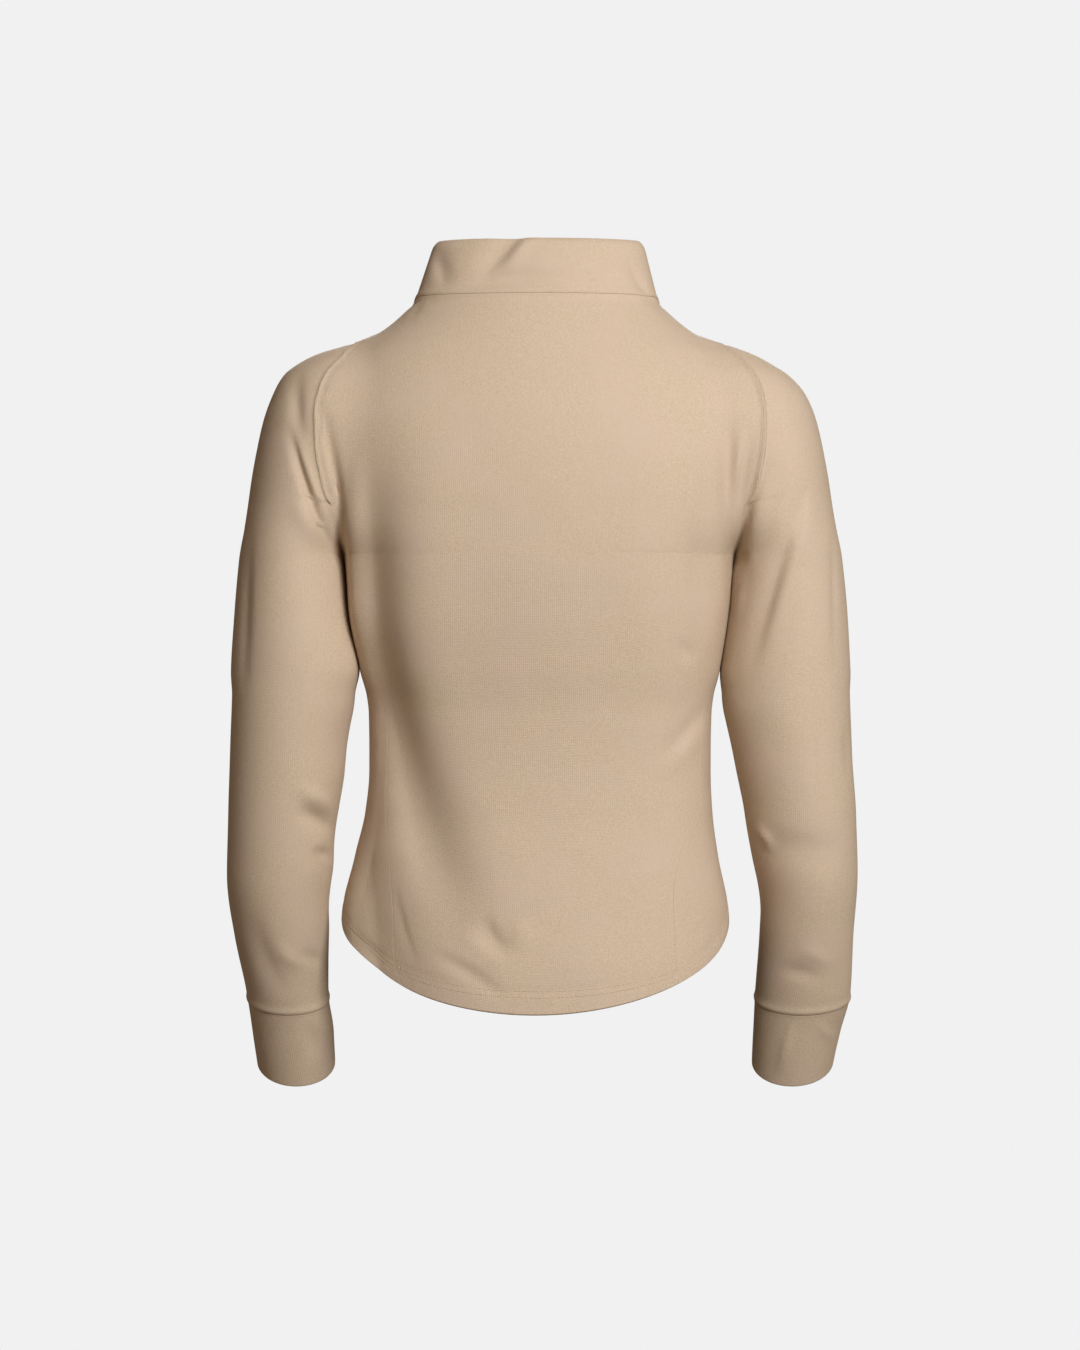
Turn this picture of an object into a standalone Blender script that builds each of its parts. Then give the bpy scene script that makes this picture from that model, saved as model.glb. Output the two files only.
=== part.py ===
"""A fitted fleece sweater with raglan sleeves and a stand collar, filled out as it is worn.

Metres, +Z up. The front faces -Y, the wearer's left is +X, and the origin is the middle of the neck,
level with the collar seam at the nape. The worn form is two kinds of section read against height, the
torso's and the arm's, run together at the shoulder. Seams are curves on that form, and each cut piece is
a wall of cloth stretched between its own seams.
"""
import bpy
import numpy as np

CLOTH = 0.0016  # one layer of brushed jersey
DOUBLED = 0.0028  # collar and cuffs are the same cloth folded double
SEAM_GAP = 0.0003  # between the edges of two pieces
EASE = 0.0002  # every outer face lies this far inside the form, so the underarm faces part

ARMPIT = -0.213  # heights
VALLEY_TOP = -0.168  # the raglan seam runs in the crease under the arm up to here
SHOULDER_TURN = -0.140  # above this the body is charted by rays that climb to the neck
ARM_TOP = -0.038
WIDE, DEEP, CLIMB = 0.060, 0.100, 0.100  # proportions of the body's rays
CAP_LEAN_NECK = np.radians(15)  # how far the sleeve's top has turned outwards at the neck
CAP_INSET_NECK, CAP_INSET_ARMPIT = -0.055, 0.043  # its middle line, measured from between the seams

NECK_BACK_END = np.radians(116)  # angles round the neck from the nape: the sleeve meets the collar
NECK_FRONT_END = np.radians(141)  # between these two
NECK_SIDE = np.radians(75)  # from here the neck seam starts to fall
NAPE_HEIGHT = 0.002
NECK_DROP = 0.047  # how much lower the neck seam lies at the front
NECK_WIDE, NECK_DEEP = 0.099, 0.052  # proportions of the ring that the neck angles are read on
HEM_BACK, HEM_FRONT = -0.580, -0.562  # lowest points of the curved hem
HEM_SIDE = -0.509
HEM_WIDE, HEM_DEEP = 0.160, 0.105  # proportions of the ring that the hem angles are read on
HEM_ROUND = 0.07  # roundness of the notch at each side of the hem

BACK_COLUMNS, FRONT_COLUMNS = 22, 26
SIDE_ROWS, RAGLAN_ROWS, NECK_COLUMNS = 16, 11, 6
SLEEVE_COLUMNS, SLEEVE_ROWS, CUFF_ROWS, COLLAR_ROWS = 24, 17, 3, 3
REACH, PROBES = 0.36, 73  # how far a ray looks for the cloth, and at how many places
HALVINGS = 22  # each halves the error in where a ray meets the cloth


def table(columns, rows):
    """Rows of numbers as one array for each named column."""
    return dict(zip(columns.split(), np.array(rows).T))


TORSO = table("height half sway back front square", (
    (-0.600, 0.1600, 0.004, 0.100, 0.110, 2.2),
    (-0.545, 0.1600, 0.004, 0.098, 0.110, 2.2),
    (-0.505, 0.1590, 0.004, 0.093, 0.108, 2.2),
    (-0.455, 0.1490, 0.003, 0.086, 0.105, 2.3),
    (-0.420, 0.1425, 0.001, 0.082, 0.103, 2.3),
    (-0.385, 0.1400, 0.000, 0.081, 0.104, 2.3),
    (-0.340, 0.1405, 0.000, 0.084, 0.109, 2.3),
    (-0.300, 0.1470, 0.000, 0.091, 0.117, 2.3),
    (-0.255, 0.1550, 0.001, 0.098, 0.123, 2.3),
    (ARMPIT, 0.1590, 0.001, 0.102, 0.123, 2.3),
    (VALLEY_TOP, 0.1920, 0.000, 0.103, 0.116, 2.0),
    (-0.135, 0.2000, 0.000, 0.101, 0.106, 2.0),
    (-0.100, 0.1960, 0.001, 0.095, 0.093, 2.0),
    (-0.070, 0.1800, 0.001, 0.085, 0.080, 2.0),
    (-0.045, 0.1560, 0.002, 0.074, 0.068, 2.0),
    (-0.028, 0.1300, 0.003, 0.066, 0.060, 2.0),
    (-0.012, 0.1100, 0.003, 0.058, 0.054, 2.0),
    (0.0020, 0.0985, 0.003, 0.052, 0.050, 2.0),
    (0.0300, 0.0920, 0.002, 0.047, 0.048, 2.0),
))

# Outer edge of each sleeve, its clearance from the body's side, and its middle and half-depth in Y.
ARM = table("height outer_left outer_right clear_left clear_right middle deep", (
    (-0.680, 0.2310, 0.2370, 0.005, 0.017, -0.086, 0.034),
    (-0.640, 0.2345, 0.2430, 0.006, 0.020, -0.068, 0.035),
    (-0.603, 0.2390, 0.2500, 0.007, 0.021, -0.052, 0.036),
    (-0.570, 0.2430, 0.2572, 0.011, 0.022, -0.038, 0.038),
    (-0.521, 0.2520, 0.2585, 0.010, 0.025, -0.022, 0.043),
    (-0.472, 0.2575, 0.2612, 0.014, 0.028, -0.010, 0.047),
    (-0.422, 0.2560, 0.2595, 0.022, 0.026, -0.003, 0.050),
    (-0.373, 0.2542, 0.2558, 0.019, 0.018, 0.001, 0.053),
    (-0.324, 0.2526, 0.2542, 0.009, 0.0065, 0.003, 0.056),
    (-0.300, 0.2520, 0.2532, 0.002, 0.002, 0.003, 0.057),
    (-0.255, 0.2493, 0.2509, 0.001, 0.001, 0.002, 0.058),
    (ARMPIT, 0.2460, 0.2470, 0.0008, 0.0008, 0.000, 0.060),
    (VALLEY_TOP, 0.2395, 0.2395, -0.048, -0.048, 0.000, 0.062),
    (-0.135, 0.2345, 0.2345, -0.063, -0.063, 0.000, 0.062),
    (-0.100, 0.2270, 0.2270, -0.071, -0.071, 0.000, 0.059),
    (-0.078, 0.2190, 0.2180, -0.067, -0.067, 0.000, 0.053),
    (-0.062, 0.2100, 0.2040, -0.060, -0.060, 0.000, 0.045),
    (-0.053, 0.1990, 0.1900, -0.045, -0.045, 0.000, 0.037),
    (-0.045, 0.1840, 0.1750, -0.032, -0.032, 0.000, 0.028),
    (ARM_TOP, 0.1620, 0.1570, -0.020, -0.020, 0.000, 0.016),
))

# Half-width of the line inside the body that its rays start from, against the rise up the body.
SPINE = table("height half", (
    (-0.600, 0.105),
    (-0.170, 0.115),
    (-0.140, 0.110),
    (-0.090, 0.065),
    (0.0000, 0.050),
))

# How widely body and arm run together, and how far each is parted from the other's form.
JOINING = table("height fillet parting", (
    (-0.225, 0.0005, 0.060),
    (ARMPIT, 0.0005, 0.040),
    (-0.204, 0.0020, 0.002),
    (-0.190, 0.0050, 0.001),
    (VALLEY_TOP, 0.0120, 0.000),
    (-0.135, 0.0220, 0.000),
    (-0.100, 0.0280, 0.000),
    (-0.070, 0.0200, 0.000),
    (-0.045, 0.0160, 0.000),
))

# The back raglan seam above the crease, and the front one: distance from the middle.
BACK_RAGLAN = table("height out", (
    (-0.139, 0.1800),
    (-0.107, 0.1830),
    (-0.082, 0.1815),
    (-0.062, 0.1740),
    (-0.048, 0.1620),
))
FRONT_RAGLAN = table("height out", (
    (-0.139, 0.1640),
    (-0.107, 0.1450),
    (-0.080, 0.1200),
    (-0.055, 0.0930),
))

# The side seams are thrown to the back: distance from the middle at each height, hem first.
SIDE_SEAM_AT_HEM = np.radians((44, -41))
SIDE_SEAM = table("height out_left out_right", (
    (-0.540, 0.1230, 0.1099),
    (-0.488, 0.1250, 0.1074),
    (-0.453, 0.1270, 0.1130),
    (-0.410, 0.1290, 0.1287),
    (-0.357, 0.1290, 0.1287),
    (-0.330, 0.1340, 0.1340),
))

# Level of each row of the lower sleeve on the arm's middle line, and how steeply it dips to the back.
CUFF_SEAM, CUFF_SEAM_DIP = -0.5764, 0.35
CUFF_END, CUFF_END_DIP = -0.6310, 0.66

# The collar's top edge.
COLLAR_TOP = dict(half=0.0857, sway=0.001, back=0.040, front=0.060, back_height=0.0490, front_height=0.030)

# The largest folds: the face they lie on (1 back, -1 front), both ends, how far they bow from the line
# between them, width, and depth, less than nothing for a trough.
FOLDS = table("face x0 z0 x1 z1 bow width depth", (
    (1, 0.1330, -0.150, 0.0490, -0.488, 0.036, 0.022, -0.0050),  # long soft trough down the left back
    (1, 0.0900, -0.520, 0.0250, -0.562, 0.004, 0.010, -0.0025),  # drag lines above the left hem
    (1, 0.0420, -0.505, 0.0150, -0.530, 0.000, 0.010, -0.0020),
    (1, -0.1400, -0.200, -0.1150, -0.260, 0.004, 0.012, -0.0020),  # dimple below the right armpit
    (1, -0.0980, -0.375, -0.1300, -0.335, 0.000, 0.010, 0.0015),
    (1, 0.2040, -0.105, 0.1740, -0.200, 0.006, 0.010, -0.0030),  # left sleeve, slanting to the armpit
    (1, -0.2010, -0.180, -0.1680, -0.300, 0.006, 0.011, -0.0030),  # right sleeve, slanting to the armpit
    (1, 0.1750, -0.435, 0.2050, -0.462, 0.000, 0.009, -0.0030),  # inner elbows
    (1, -0.1800, -0.430, -0.2100, -0.452, 0.000, 0.009, -0.0025),
    (1, 0.1850, -0.545, 0.2350, -0.560, 0.000, 0.008, -0.0020),  # above the cuffs
    (1, -0.1900, -0.548, -0.2450, -0.556, 0.000, 0.008, -0.0020),
    (-1, 0.1350, -0.190, 0.0750, -0.290, 0.008, 0.014, -0.0030),  # front, down from the armpits
    (-1, -0.1320, -0.195, -0.0800, -0.280, -0.008, 0.013, -0.0030),
    (-1, 0.1000, -0.330, 0.0300, -0.400, 0.006, 0.014, -0.0025),  # front, across the waist
    (-1, -0.1050, -0.350, -0.0350, -0.415, -0.006, 0.013, -0.0025),
    (-1, 0.1900, -0.400, 0.2250, -0.425, 0.000, 0.010, -0.0030),  # front of the elbows
    (-1, -0.1920, -0.395, -0.2300, -0.420, 0.000, 0.010, -0.0030),
))


def read(columns, name, height):
    """A column's value at a height, on a smooth curve that never overshoots its rows."""
    knots, values = columns["height"], columns[name]
    steps = np.diff(knots)
    rates = np.diff(values) / steps
    product = rates[:-1] * rates[1:]
    total = np.where(product > 0, rates[:-1] + rates[1:], 1.0)
    inner = np.where(product > 0, 2 * product / total, 0.0)
    slopes = np.concatenate(([rates[0]], inner, [rates[-1]]))
    height = np.clip(height, knots[0], knots[-1])
    i = np.clip(np.searchsorted(knots, height) - 1, 0, len(steps) - 1)
    t = (height - knots[i]) / steps[i]
    bend = t * (1 - t) * steps[i]
    straight = values[i] + t * t * (3 - 2 * t) * (values[i + 1] - values[i])
    return straight + bend * ((1 - t) * slopes[i] - t * slopes[i + 1])


def ring_distance(across, along, half, deep, square):
    """How far a point lies outside a rounded ring, along the line from the ring's middle."""
    ratio = (np.abs(across / half) ** square + np.abs(along / deep) ** square) ** (1 / square)
    ratio = np.maximum(ratio, 1e-6)
    return np.hypot(across, along) * (1 - 1 / ratio)


def torso_distance(points):
    """Distance outside the torso's rings."""
    x, y, z = np.moveaxis(points, -1, 0)
    deep = np.where(y > 0, read(TORSO, "back", z), read(TORSO, "front", z))
    across = x - read(TORSO, "sway", z)
    return ring_distance(across, y, read(TORSO, "half", z), deep, read(TORSO, "square", z))


def arm_section(side, height):
    """Middle, half-width and half-depth of a sleeve: side is 1 for the left and -1 for the right."""
    left = np.asarray(side) > 0
    outer = np.where(left, read(ARM, "outer_left", height), read(ARM, "outer_right", height))
    clear = np.where(left, read(ARM, "clear_left", height), read(ARM, "clear_right", height))
    inner = read(TORSO, "half", height) + side * read(TORSO, "sway", height) + clear
    middle_x = side * (outer + inner) / 2
    return middle_x, read(ARM, "middle", height), (outer - inner) / 2, read(ARM, "deep", height)


def arm_distance(points, side):
    """Distance outside an arm's rings, whose top is flat at the shoulder."""
    x, y, z = np.moveaxis(points, -1, 0)
    middle_x, middle_y, half, deep = arm_section(side, z)
    return np.maximum(ring_distance(x - middle_x, y - middle_y, half, deep, 2.0), z - ARM_TOP)


def joined(own, other, height):
    """The form's distance, with the other limb's form run into this one's by a soft fillet."""
    fillet = read(JOINING, "fillet", height)
    other = other + read(JOINING, "parting", height)
    share = np.maximum(fillet - np.abs(own - other), 0) / fillet
    return np.minimum(own, other) - share ** 2 * fillet / 4


def body_form(points):
    """Distance outside the body's panels."""
    side = np.where(points[..., 0] > 0, 1, -1)
    return joined(torso_distance(points), arm_distance(points, side), points[..., 2])


def sleeve_form(side):
    """Distance outside one sleeve, as a function of points."""
    return lambda points: joined(arm_distance(points, side), torso_distance(points), points[..., 2])


def cast(start, way, form):
    """Where the line from each start first leaves the form."""
    start, way = np.broadcast_arrays(start, way)
    way = way / np.linalg.norm(way, axis=-1, keepdims=True)
    reach = np.linspace(0, REACH, PROBES)
    outside = np.stack([form(start + way * r) for r in reach]) > 0
    leaves = outside[1:] & ~outside[:-1]
    first = np.argmax(leaves, axis=0)
    low, high = reach[first], reach[first + 1]
    for _ in range(HALVINGS):
        middle = (low + high) / 2
        out = form(start + way * middle[..., None]) > 0
        low, high = np.where(out, low, middle), np.where(out, middle, high)
    return start + way * high[..., None]


def outward(points, form):
    """Unit normal of a form at points on it."""
    step = 2e-5
    slope = [form(points + step * axis) - form(points - step * axis) for axis in np.eye(3)]
    slope = np.stack(slope, axis=-1)
    return slope / np.linalg.norm(slope, axis=-1, keepdims=True)


def body_ray(angle, rise):
    """Start and direction of the body's ray at an angle round from the back and a rise up the body."""
    climb = np.maximum(rise - SHOULDER_TURN, 0) / CLIMB
    level = np.minimum(rise, SHOULDER_TURN)
    start = np.stack([read(SPINE, "half", rise) * np.sin(angle), 0 * angle, level], axis=-1)
    out = np.cos(climb)
    way = [WIDE * np.sin(angle) * out, DEEP * np.cos(angle) * out, CLIMB * np.sin(climb)]
    return start, np.stack(way, axis=-1)


def body_place(points, facing):
    """Angle and rise of points on the body, with the angle within half a turn of facing."""
    x, y, z = np.moveaxis(points, -1, 0)
    rise = z
    for _ in range(HALVINGS):
        spine = read(SPINE, "half", rise)
        low, high = np.full(x.shape, 1e-4), np.full(x.shape, 4.0)
        for _ in range(HALVINGS):
            middle = (low + high) / 2
            short = (x / (spine + middle * WIDE)) ** 2 + (y / (middle * DEEP)) ** 2 > 1
            low, high = np.where(short, middle, low), np.where(short, high, middle)
        climb = np.arctan2(np.maximum(z - SHOULDER_TURN, 0), low * CLIMB)
        rise = np.minimum(z, SHOULDER_TURN) + climb * CLIMB
    angle = np.arctan2(x / (spine + low * WIDE), y / (low * DEEP))
    return facing + (angle - facing + np.pi) % (2 * np.pi) - np.pi, rise


def body_at(angle, rise):
    """Points of the body's form at an angle and a rise."""
    start, way = body_ray(angle, rise)
    return cast(start, way, body_form)


def from_face(out, height, side, face):
    """Points on the body seen square on from the back (face 1) or the front (face -1)."""
    start = np.stack([side * out, 0.0 * out, height], axis=-1)
    return cast(start, np.array([0.0, face, 0.0]), body_form)


def even(points, count):
    """The same line as count + 1 points evenly along it."""
    steps = np.linalg.norm(np.diff(points, axis=0), axis=1)
    along = np.concatenate(([0], np.cumsum(steps)))
    wanted = np.linspace(0, along[-1], count + 1)
    return np.stack([np.interp(wanted, along, column) for column in points.T], axis=1)


def armpit(side):
    """The point under the arm where the side seam, both raglan seams and the sleeve's seam meet."""
    return np.array([side * read(TORSO, "half", ARMPIT) + read(TORSO, "sway", ARMPIT), 0.0, ARMPIT])


def valley(side, face, count=40):
    """The crease where arm and body cross, from the armpit up, on the back or the front."""
    heights = ARMPIT + (VALLEY_TOP - ARMPIT) * np.linspace(0.1, 1, count) ** 2
    half, square = read(TORSO, "half", heights), read(TORSO, "square", heights)
    deep = read(TORSO, "back" if face > 0 else "front", heights)
    low, high = np.zeros(count), np.full(count, np.pi / 2)
    for _ in range(HALVINGS):
        turn = (low + high) / 2
        x = side * half * np.sin(turn) ** (2 / square) + read(TORSO, "sway", heights)
        y = face * deep * np.cos(turn) ** (2 / square)
        points = np.stack([x, y, heights], axis=-1)
        clear = arm_distance(points, side) > 0
        low, high = np.where(clear, turn, low), np.where(clear, high, turn)
    return np.concatenate((armpit(side)[None], points))


def neck_line(start, end, count=60):
    """The neck seam between two angles round from the nape."""
    angle = np.linspace(start, end, count)
    height = NAPE_HEIGHT - NECK_DROP * forward(angle)
    start = np.stack([0 * angle, 0 * angle, height], axis=-1)
    way = np.stack([NECK_WIDE * np.sin(angle), NECK_DEEP * np.cos(angle), 0 * angle], axis=-1)
    return cast(start, way, body_form)


def forward(angle):
    """How far round to the front of the neck an angle lies: 0 over the back, 1 at the front."""
    turn = np.clip((np.arccos(np.cos(angle)) - NECK_SIDE) / (np.pi - NECK_SIDE), 0, 1)
    return turn * turn * (3 - 2 * turn)


def hem_line(start, end, count=80):
    """The hem between two angles round from the back, dipping at back and front."""
    angle = np.linspace(start, end, count)
    dip = (np.hypot(np.cos(angle), HEM_ROUND) - HEM_ROUND) / (np.hypot(1, HEM_ROUND) - HEM_ROUND)
    lowest = np.where(np.cos(angle) > 0, HEM_BACK, HEM_FRONT)
    height = HEM_SIDE + (lowest - HEM_SIDE) * dip
    start = np.stack([read(TORSO, "sway", height), 0 * angle, height], axis=-1)
    way = np.stack([HEM_WIDE * np.sin(angle), HEM_DEEP * np.cos(angle), 0 * angle], axis=-1)
    return cast(start, way, body_form)


def through(points, facing, count=200):
    """A smooth line on the body through a few places on it."""
    knots = np.arange(len(points), dtype=float)
    wanted = np.linspace(0, knots[-1], count)
    smooth = [read(dict(height=knots, value=v), "value", wanted) for v in body_place(points, facing)]
    return body_at(*smooth)


def raglan(side, face):
    """A raglan seam from the armpit to the neck, on the back or the front."""
    crease = valley(side, face)
    columns = BACK_RAGLAN if face > 0 else FRONT_RAGLAN
    upper = from_face(columns["out"], columns["height"], side, face)
    neck_angle = side * (NECK_BACK_END if face > 0 else NECK_FRONT_END)
    neck = neck_line(neck_angle, neck_angle, 2)[:1]
    shoulder = through(np.concatenate((crease[-1:], upper, neck)), side * np.pi / 2)
    return np.concatenate((crease[:-1], shoulder))


def side_seam(side):
    """A side seam from the hem to the armpit."""
    at_hem = SIDE_SEAM_AT_HEM[0 if side > 0 else 1]
    out = SIDE_SEAM["out_left" if side > 0 else "out_right"]
    keys = (
        hem_line(at_hem, at_hem, 2)[:1],
        from_face(out, SIDE_SEAM["height"], side, 1),
        body_at(side * np.radians([77, 86]), np.array([-0.305, -0.262])),
        armpit(side)[None],
    )
    return through(np.concatenate(keys), side * np.pi / 2)


def stretch(left, right, bottom, top, facing):
    """A grid of places on the body between four edge lines, row by row from the hem up."""
    edges = left, right, bottom, top
    left, right, bottom, top = [np.stack(body_place(edge, facing), axis=-1) for edge in edges]
    u = np.linspace(0, 1, len(bottom))[:, None]
    rise = (left[:, 1] + right[:, 1]) / 2
    under_arm = rise[SIDE_ROWS]
    hem_share = np.clip((under_arm - rise) / (under_arm - rise[0]), 0, 1)[:, None, None]
    neck_share = np.clip((rise - under_arm) / (rise[-1] - under_arm), 0, 1)[:, None, None]
    grid = (1 - u) * left[:, None] + u * right[:, None]
    grid = grid + hem_share * (bottom - (1 - u) * bottom[0] - u * bottom[-1])
    grid = grid + neck_share * (top - (1 - u) * top[0] - u * top[-1])
    points = body_at(grid[..., 0], grid[..., 1])
    points[:, 0], points[:, -1], points[0], points[-1] = edges
    return points


def fold_depth(points, normals):
    """How far the folds move each point out of the smooth form."""
    x, z = points[..., 0], points[..., 2]
    depth = np.zeros(x.shape)
    for face, x0, z0, x1, z1, bow, width, height in zip(*FOLDS.values()):
        length = np.hypot(x1 - x0, z1 - z0)
        along = ((x - x0) * (x1 - x0) + (z - z0) * (z1 - z0)) / length ** 2
        off = ((x - x0) * (z1 - z0) - (z - z0) * (x1 - x0)) / length
        t = np.clip(along, 0, 1)
        off = off + bow * 4 * t * (1 - t)
        seen = np.clip(face * normals[..., 1] * 2, 0, 1)
        depth += height * seen * np.sin(np.pi * t) ** 0.7 * np.exp(-(off / width) ** 2)
    return depth


def unit(vectors):
    """The same vectors at length 1."""
    return vectors / np.maximum(np.linalg.norm(vectors, axis=-1, keepdims=True), 1e-9)


def part_edges(points, tube_from):
    """Draw the edges of a grid in by half a seam gap. From row tube_from on, its sides are joined."""
    shift = np.zeros(points.shape)
    for edge, inner in ((0, 1), (-1, -2)):
        shift[edge] += unit(points[inner] - points[edge])
        shift[:tube_from, edge] += unit(points[:tube_from, inner] - points[:tube_from, edge])
        if 0 < tube_from < len(points):
            shift[tube_from, edge] += unit(points[tube_from + 1, edge] - points[tube_from, edge])
    return points + SEAM_GAP / 2 * shift


def grid_normals(points):
    """Normals of a tube's grid, facing away from its middle."""
    ring = points[:, :-1]
    around = np.roll(ring, -1, axis=1) - np.roll(ring, 1, axis=1)
    normals = unit(np.cross(around, np.gradient(ring, axis=0)))
    away = np.sum(normals * (ring - ring.mean(axis=1, keepdims=True)))
    return np.concatenate((normals, normals[:, :1]), axis=1) * np.sign(away)


def rim(ends, a, b, c, d):
    """Two triangles between outer corners a, b and inner ones c, d, cut alike on both sides of a seam."""
    if ends[0, 2] < ends[1, 2]:
        return [(a, b, c), (a, c, d)]
    return [(a, b, d), (b, c, d)]


def cloth(name, points, normals, thickness, tube_from):
    """A wall of cloth on a grid of points: outer and inner faces and the rims between them."""
    rows, columns = points.shape[:2]
    points = part_edges(points, tube_from)
    outer = points + normals * (fold_depth(points, normals) - EASE)[..., None]
    inner = outer - normals * thickness
    index = np.arange(2 * rows * columns).reshape(2, rows, columns)
    index[:, tube_from:, -1] = index[:, tube_from:, 0]
    out, back = index
    faces = []
    for i in range(rows - 1):
        for j in range(columns - 1):
            faces.append((out[i, j], out[i, j + 1], out[i + 1, j + 1], out[i + 1, j]))
            faces.append((back[i, j], back[i + 1, j], back[i + 1, j + 1], back[i, j + 1]))
    for j in range(columns - 1):
        faces.append((out[0, j + 1], out[0, j], back[0, j], back[0, j + 1]))
        faces.append((out[-1, j], out[-1, j + 1], back[-1, j + 1], back[-1, j]))
    for i in range(min(tube_from, rows - 1)):
        faces += rim(outer[i:i + 2, 0], out[i, 0], out[i + 1, 0], back[i + 1, 0], back[i, 0])
        faces += rim(outer[[i + 1, i], -1], out[i + 1, -1], out[i, -1], back[i, -1], back[i + 1, -1])
    across = np.cross(outer[:-1, 1:] - outer[:-1, :-1], outer[1:, :-1] - outer[:-1, :-1])
    if np.sum(across * normals[:-1, :-1]) < 0:
        faces = [face[::-1] for face in faces]
    used = sorted({int(v) for face in faces for v in face})
    places = {v: k for k, v in enumerate(used)}
    vertices = np.concatenate((outer.reshape(-1, 3), inner.reshape(-1, 3)))[used]
    mesh = bpy.data.meshes.new(name)
    mesh.from_pydata(vertices.tolist(), [], [tuple(places[int(v)] for v in face) for face in faces])
    mesh.shade_smooth()
    mesh.materials.append(jersey(name))
    bpy.context.collection.objects.link(bpy.data.objects.new(name, mesh))


def jersey(name):
    """Smooth-faced beige fleece."""
    material = bpy.data.materials.new(name)
    material.use_nodes = True
    shader = material.node_tree.nodes["Principled BSDF"]
    shader.inputs["Base Color"].default_value = (0.50, 0.37, 0.25, 1)
    shader.inputs["Roughness"].default_value = 0.8
    shader.inputs["Metallic"].default_value = 0.0
    return material


def body_panels():
    """The back and the front, which share the two side seams."""
    seams = {side: side_seam(side) for side in (1, -1)}
    for name, face, columns, ends in (
        ("back_panel", 1, BACK_COLUMNS, (NECK_BACK_END, -NECK_BACK_END)),
        ("front_panel", -1, FRONT_COLUMNS, (NECK_FRONT_END, 2 * np.pi - NECK_FRONT_END)),
    ):
        edges = []
        for side in (1, -1):
            lower = even(seams[side], SIDE_ROWS)
            upper = even(raglan(side, face), RAGLAN_ROWS)
            edges.append(np.concatenate((lower, upper[1:])))
        hem_end = SIDE_SEAM_AT_HEM[1] + (0 if face > 0 else 2 * np.pi)
        bottom = even(hem_line(SIDE_SEAM_AT_HEM[0], hem_end), columns)
        top = even(neck_line(*ends), columns)
        points = stretch(*edges, bottom, top, 0 if face > 0 else np.pi)
        cloth(name, points, outward(points, body_form), CLOTH, len(points))


def sleeve_ring(side, level, dip, columns):
    """A ring round the sleeve from under the arm, on a plane that dips towards the back."""
    turns = np.linspace(0, 2 * np.pi, columns + 1)
    middle_x, middle_y = arm_section(side, level)[:2]
    start = np.array([middle_x, middle_y, level])
    way = np.stack([-side * np.cos(turns), np.sin(turns), -dip * np.sin(turns)], axis=-1)
    return cast(start, way, sleeve_form(side))


def shoulder_row(side, share, back, front, columns):
    """A line over the shoulder from the back seam to the front one, share 0 at the neck, 1 at the armpit."""
    lean = CAP_LEAN_NECK + (np.pi / 2 - CAP_LEAN_NECK) * share
    top = np.array([side * np.sin(lean), 0.0, np.cos(lean)])
    rear = np.array([0.0, 1.0, 0.0])
    normal = np.array([-side * np.cos(lean), 0.0, np.sin(lean)])
    middle = (back + front) / 2 + (CAP_INSET_NECK + (CAP_INSET_ARMPIT - CAP_INSET_NECK) * share) * top
    turns, tilts = [], []
    for end in (back, front):
        a, b, c = [(end - middle) @ axis for axis in (top, rear, normal)]
        turns.append(np.arctan2(b, -a))
        tilts.append(np.arctan2(c, np.hypot(a, b)))
    u = np.linspace(0, 1, columns + 1)[:, None]
    turn = turns[0] + u * (2 * np.pi + turns[1] - turns[0])
    tilt = tilts[0] * (1 - u) ** 2 + tilts[1] * u ** 2
    way = np.cos(tilt) * (np.sin(turn) * rear - np.cos(turn) * top) + np.sin(tilt) * normal
    return cast(middle, way, sleeve_form(side))


def sleeve(side, name):
    """A sleeve from the neck to the wrist, and the cuff sewn to its end."""
    back = even(raglan(side, 1), RAGLAN_ROWS)[::-1]
    front = even(raglan(side, -1), RAGLAN_ROWS)[::-1]
    rows = [even(neck_line(side * NECK_BACK_END, side * NECK_FRONT_END), SLEEVE_COLUMNS)]
    for i in range(1, RAGLAN_ROWS):
        row = shoulder_row(side, i / RAGLAN_ROWS, back[i], front[i], SLEEVE_COLUMNS)
        row[0], row[-1] = back[i], front[i]
        rows.append(row)
    for share in np.linspace(0, 1, SLEEVE_ROWS + 1):
        level = ARMPIT + share * (CUFF_SEAM - ARMPIT)
        rows.append(sleeve_ring(side, level, CUFF_SEAM_DIP * share ** 2, SLEEVE_COLUMNS))
    points = np.stack(rows)
    cloth(name + "_sleeve", points, outward(points, sleeve_form(side)), CLOTH, RAGLAN_ROWS)
    rows = []
    for share in np.linspace(0, 1, CUFF_ROWS + 1):
        level = CUFF_SEAM + share * (CUFF_END - CUFF_SEAM)
        dip = CUFF_SEAM_DIP + share * (CUFF_END_DIP - CUFF_SEAM_DIP)
        rows.append(sleeve_ring(side, level, dip, SLEEVE_COLUMNS))
    points = np.stack(rows)
    cloth(name + "_cuff", points, outward(points, sleeve_form(side)), DOUBLED, 0)


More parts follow.
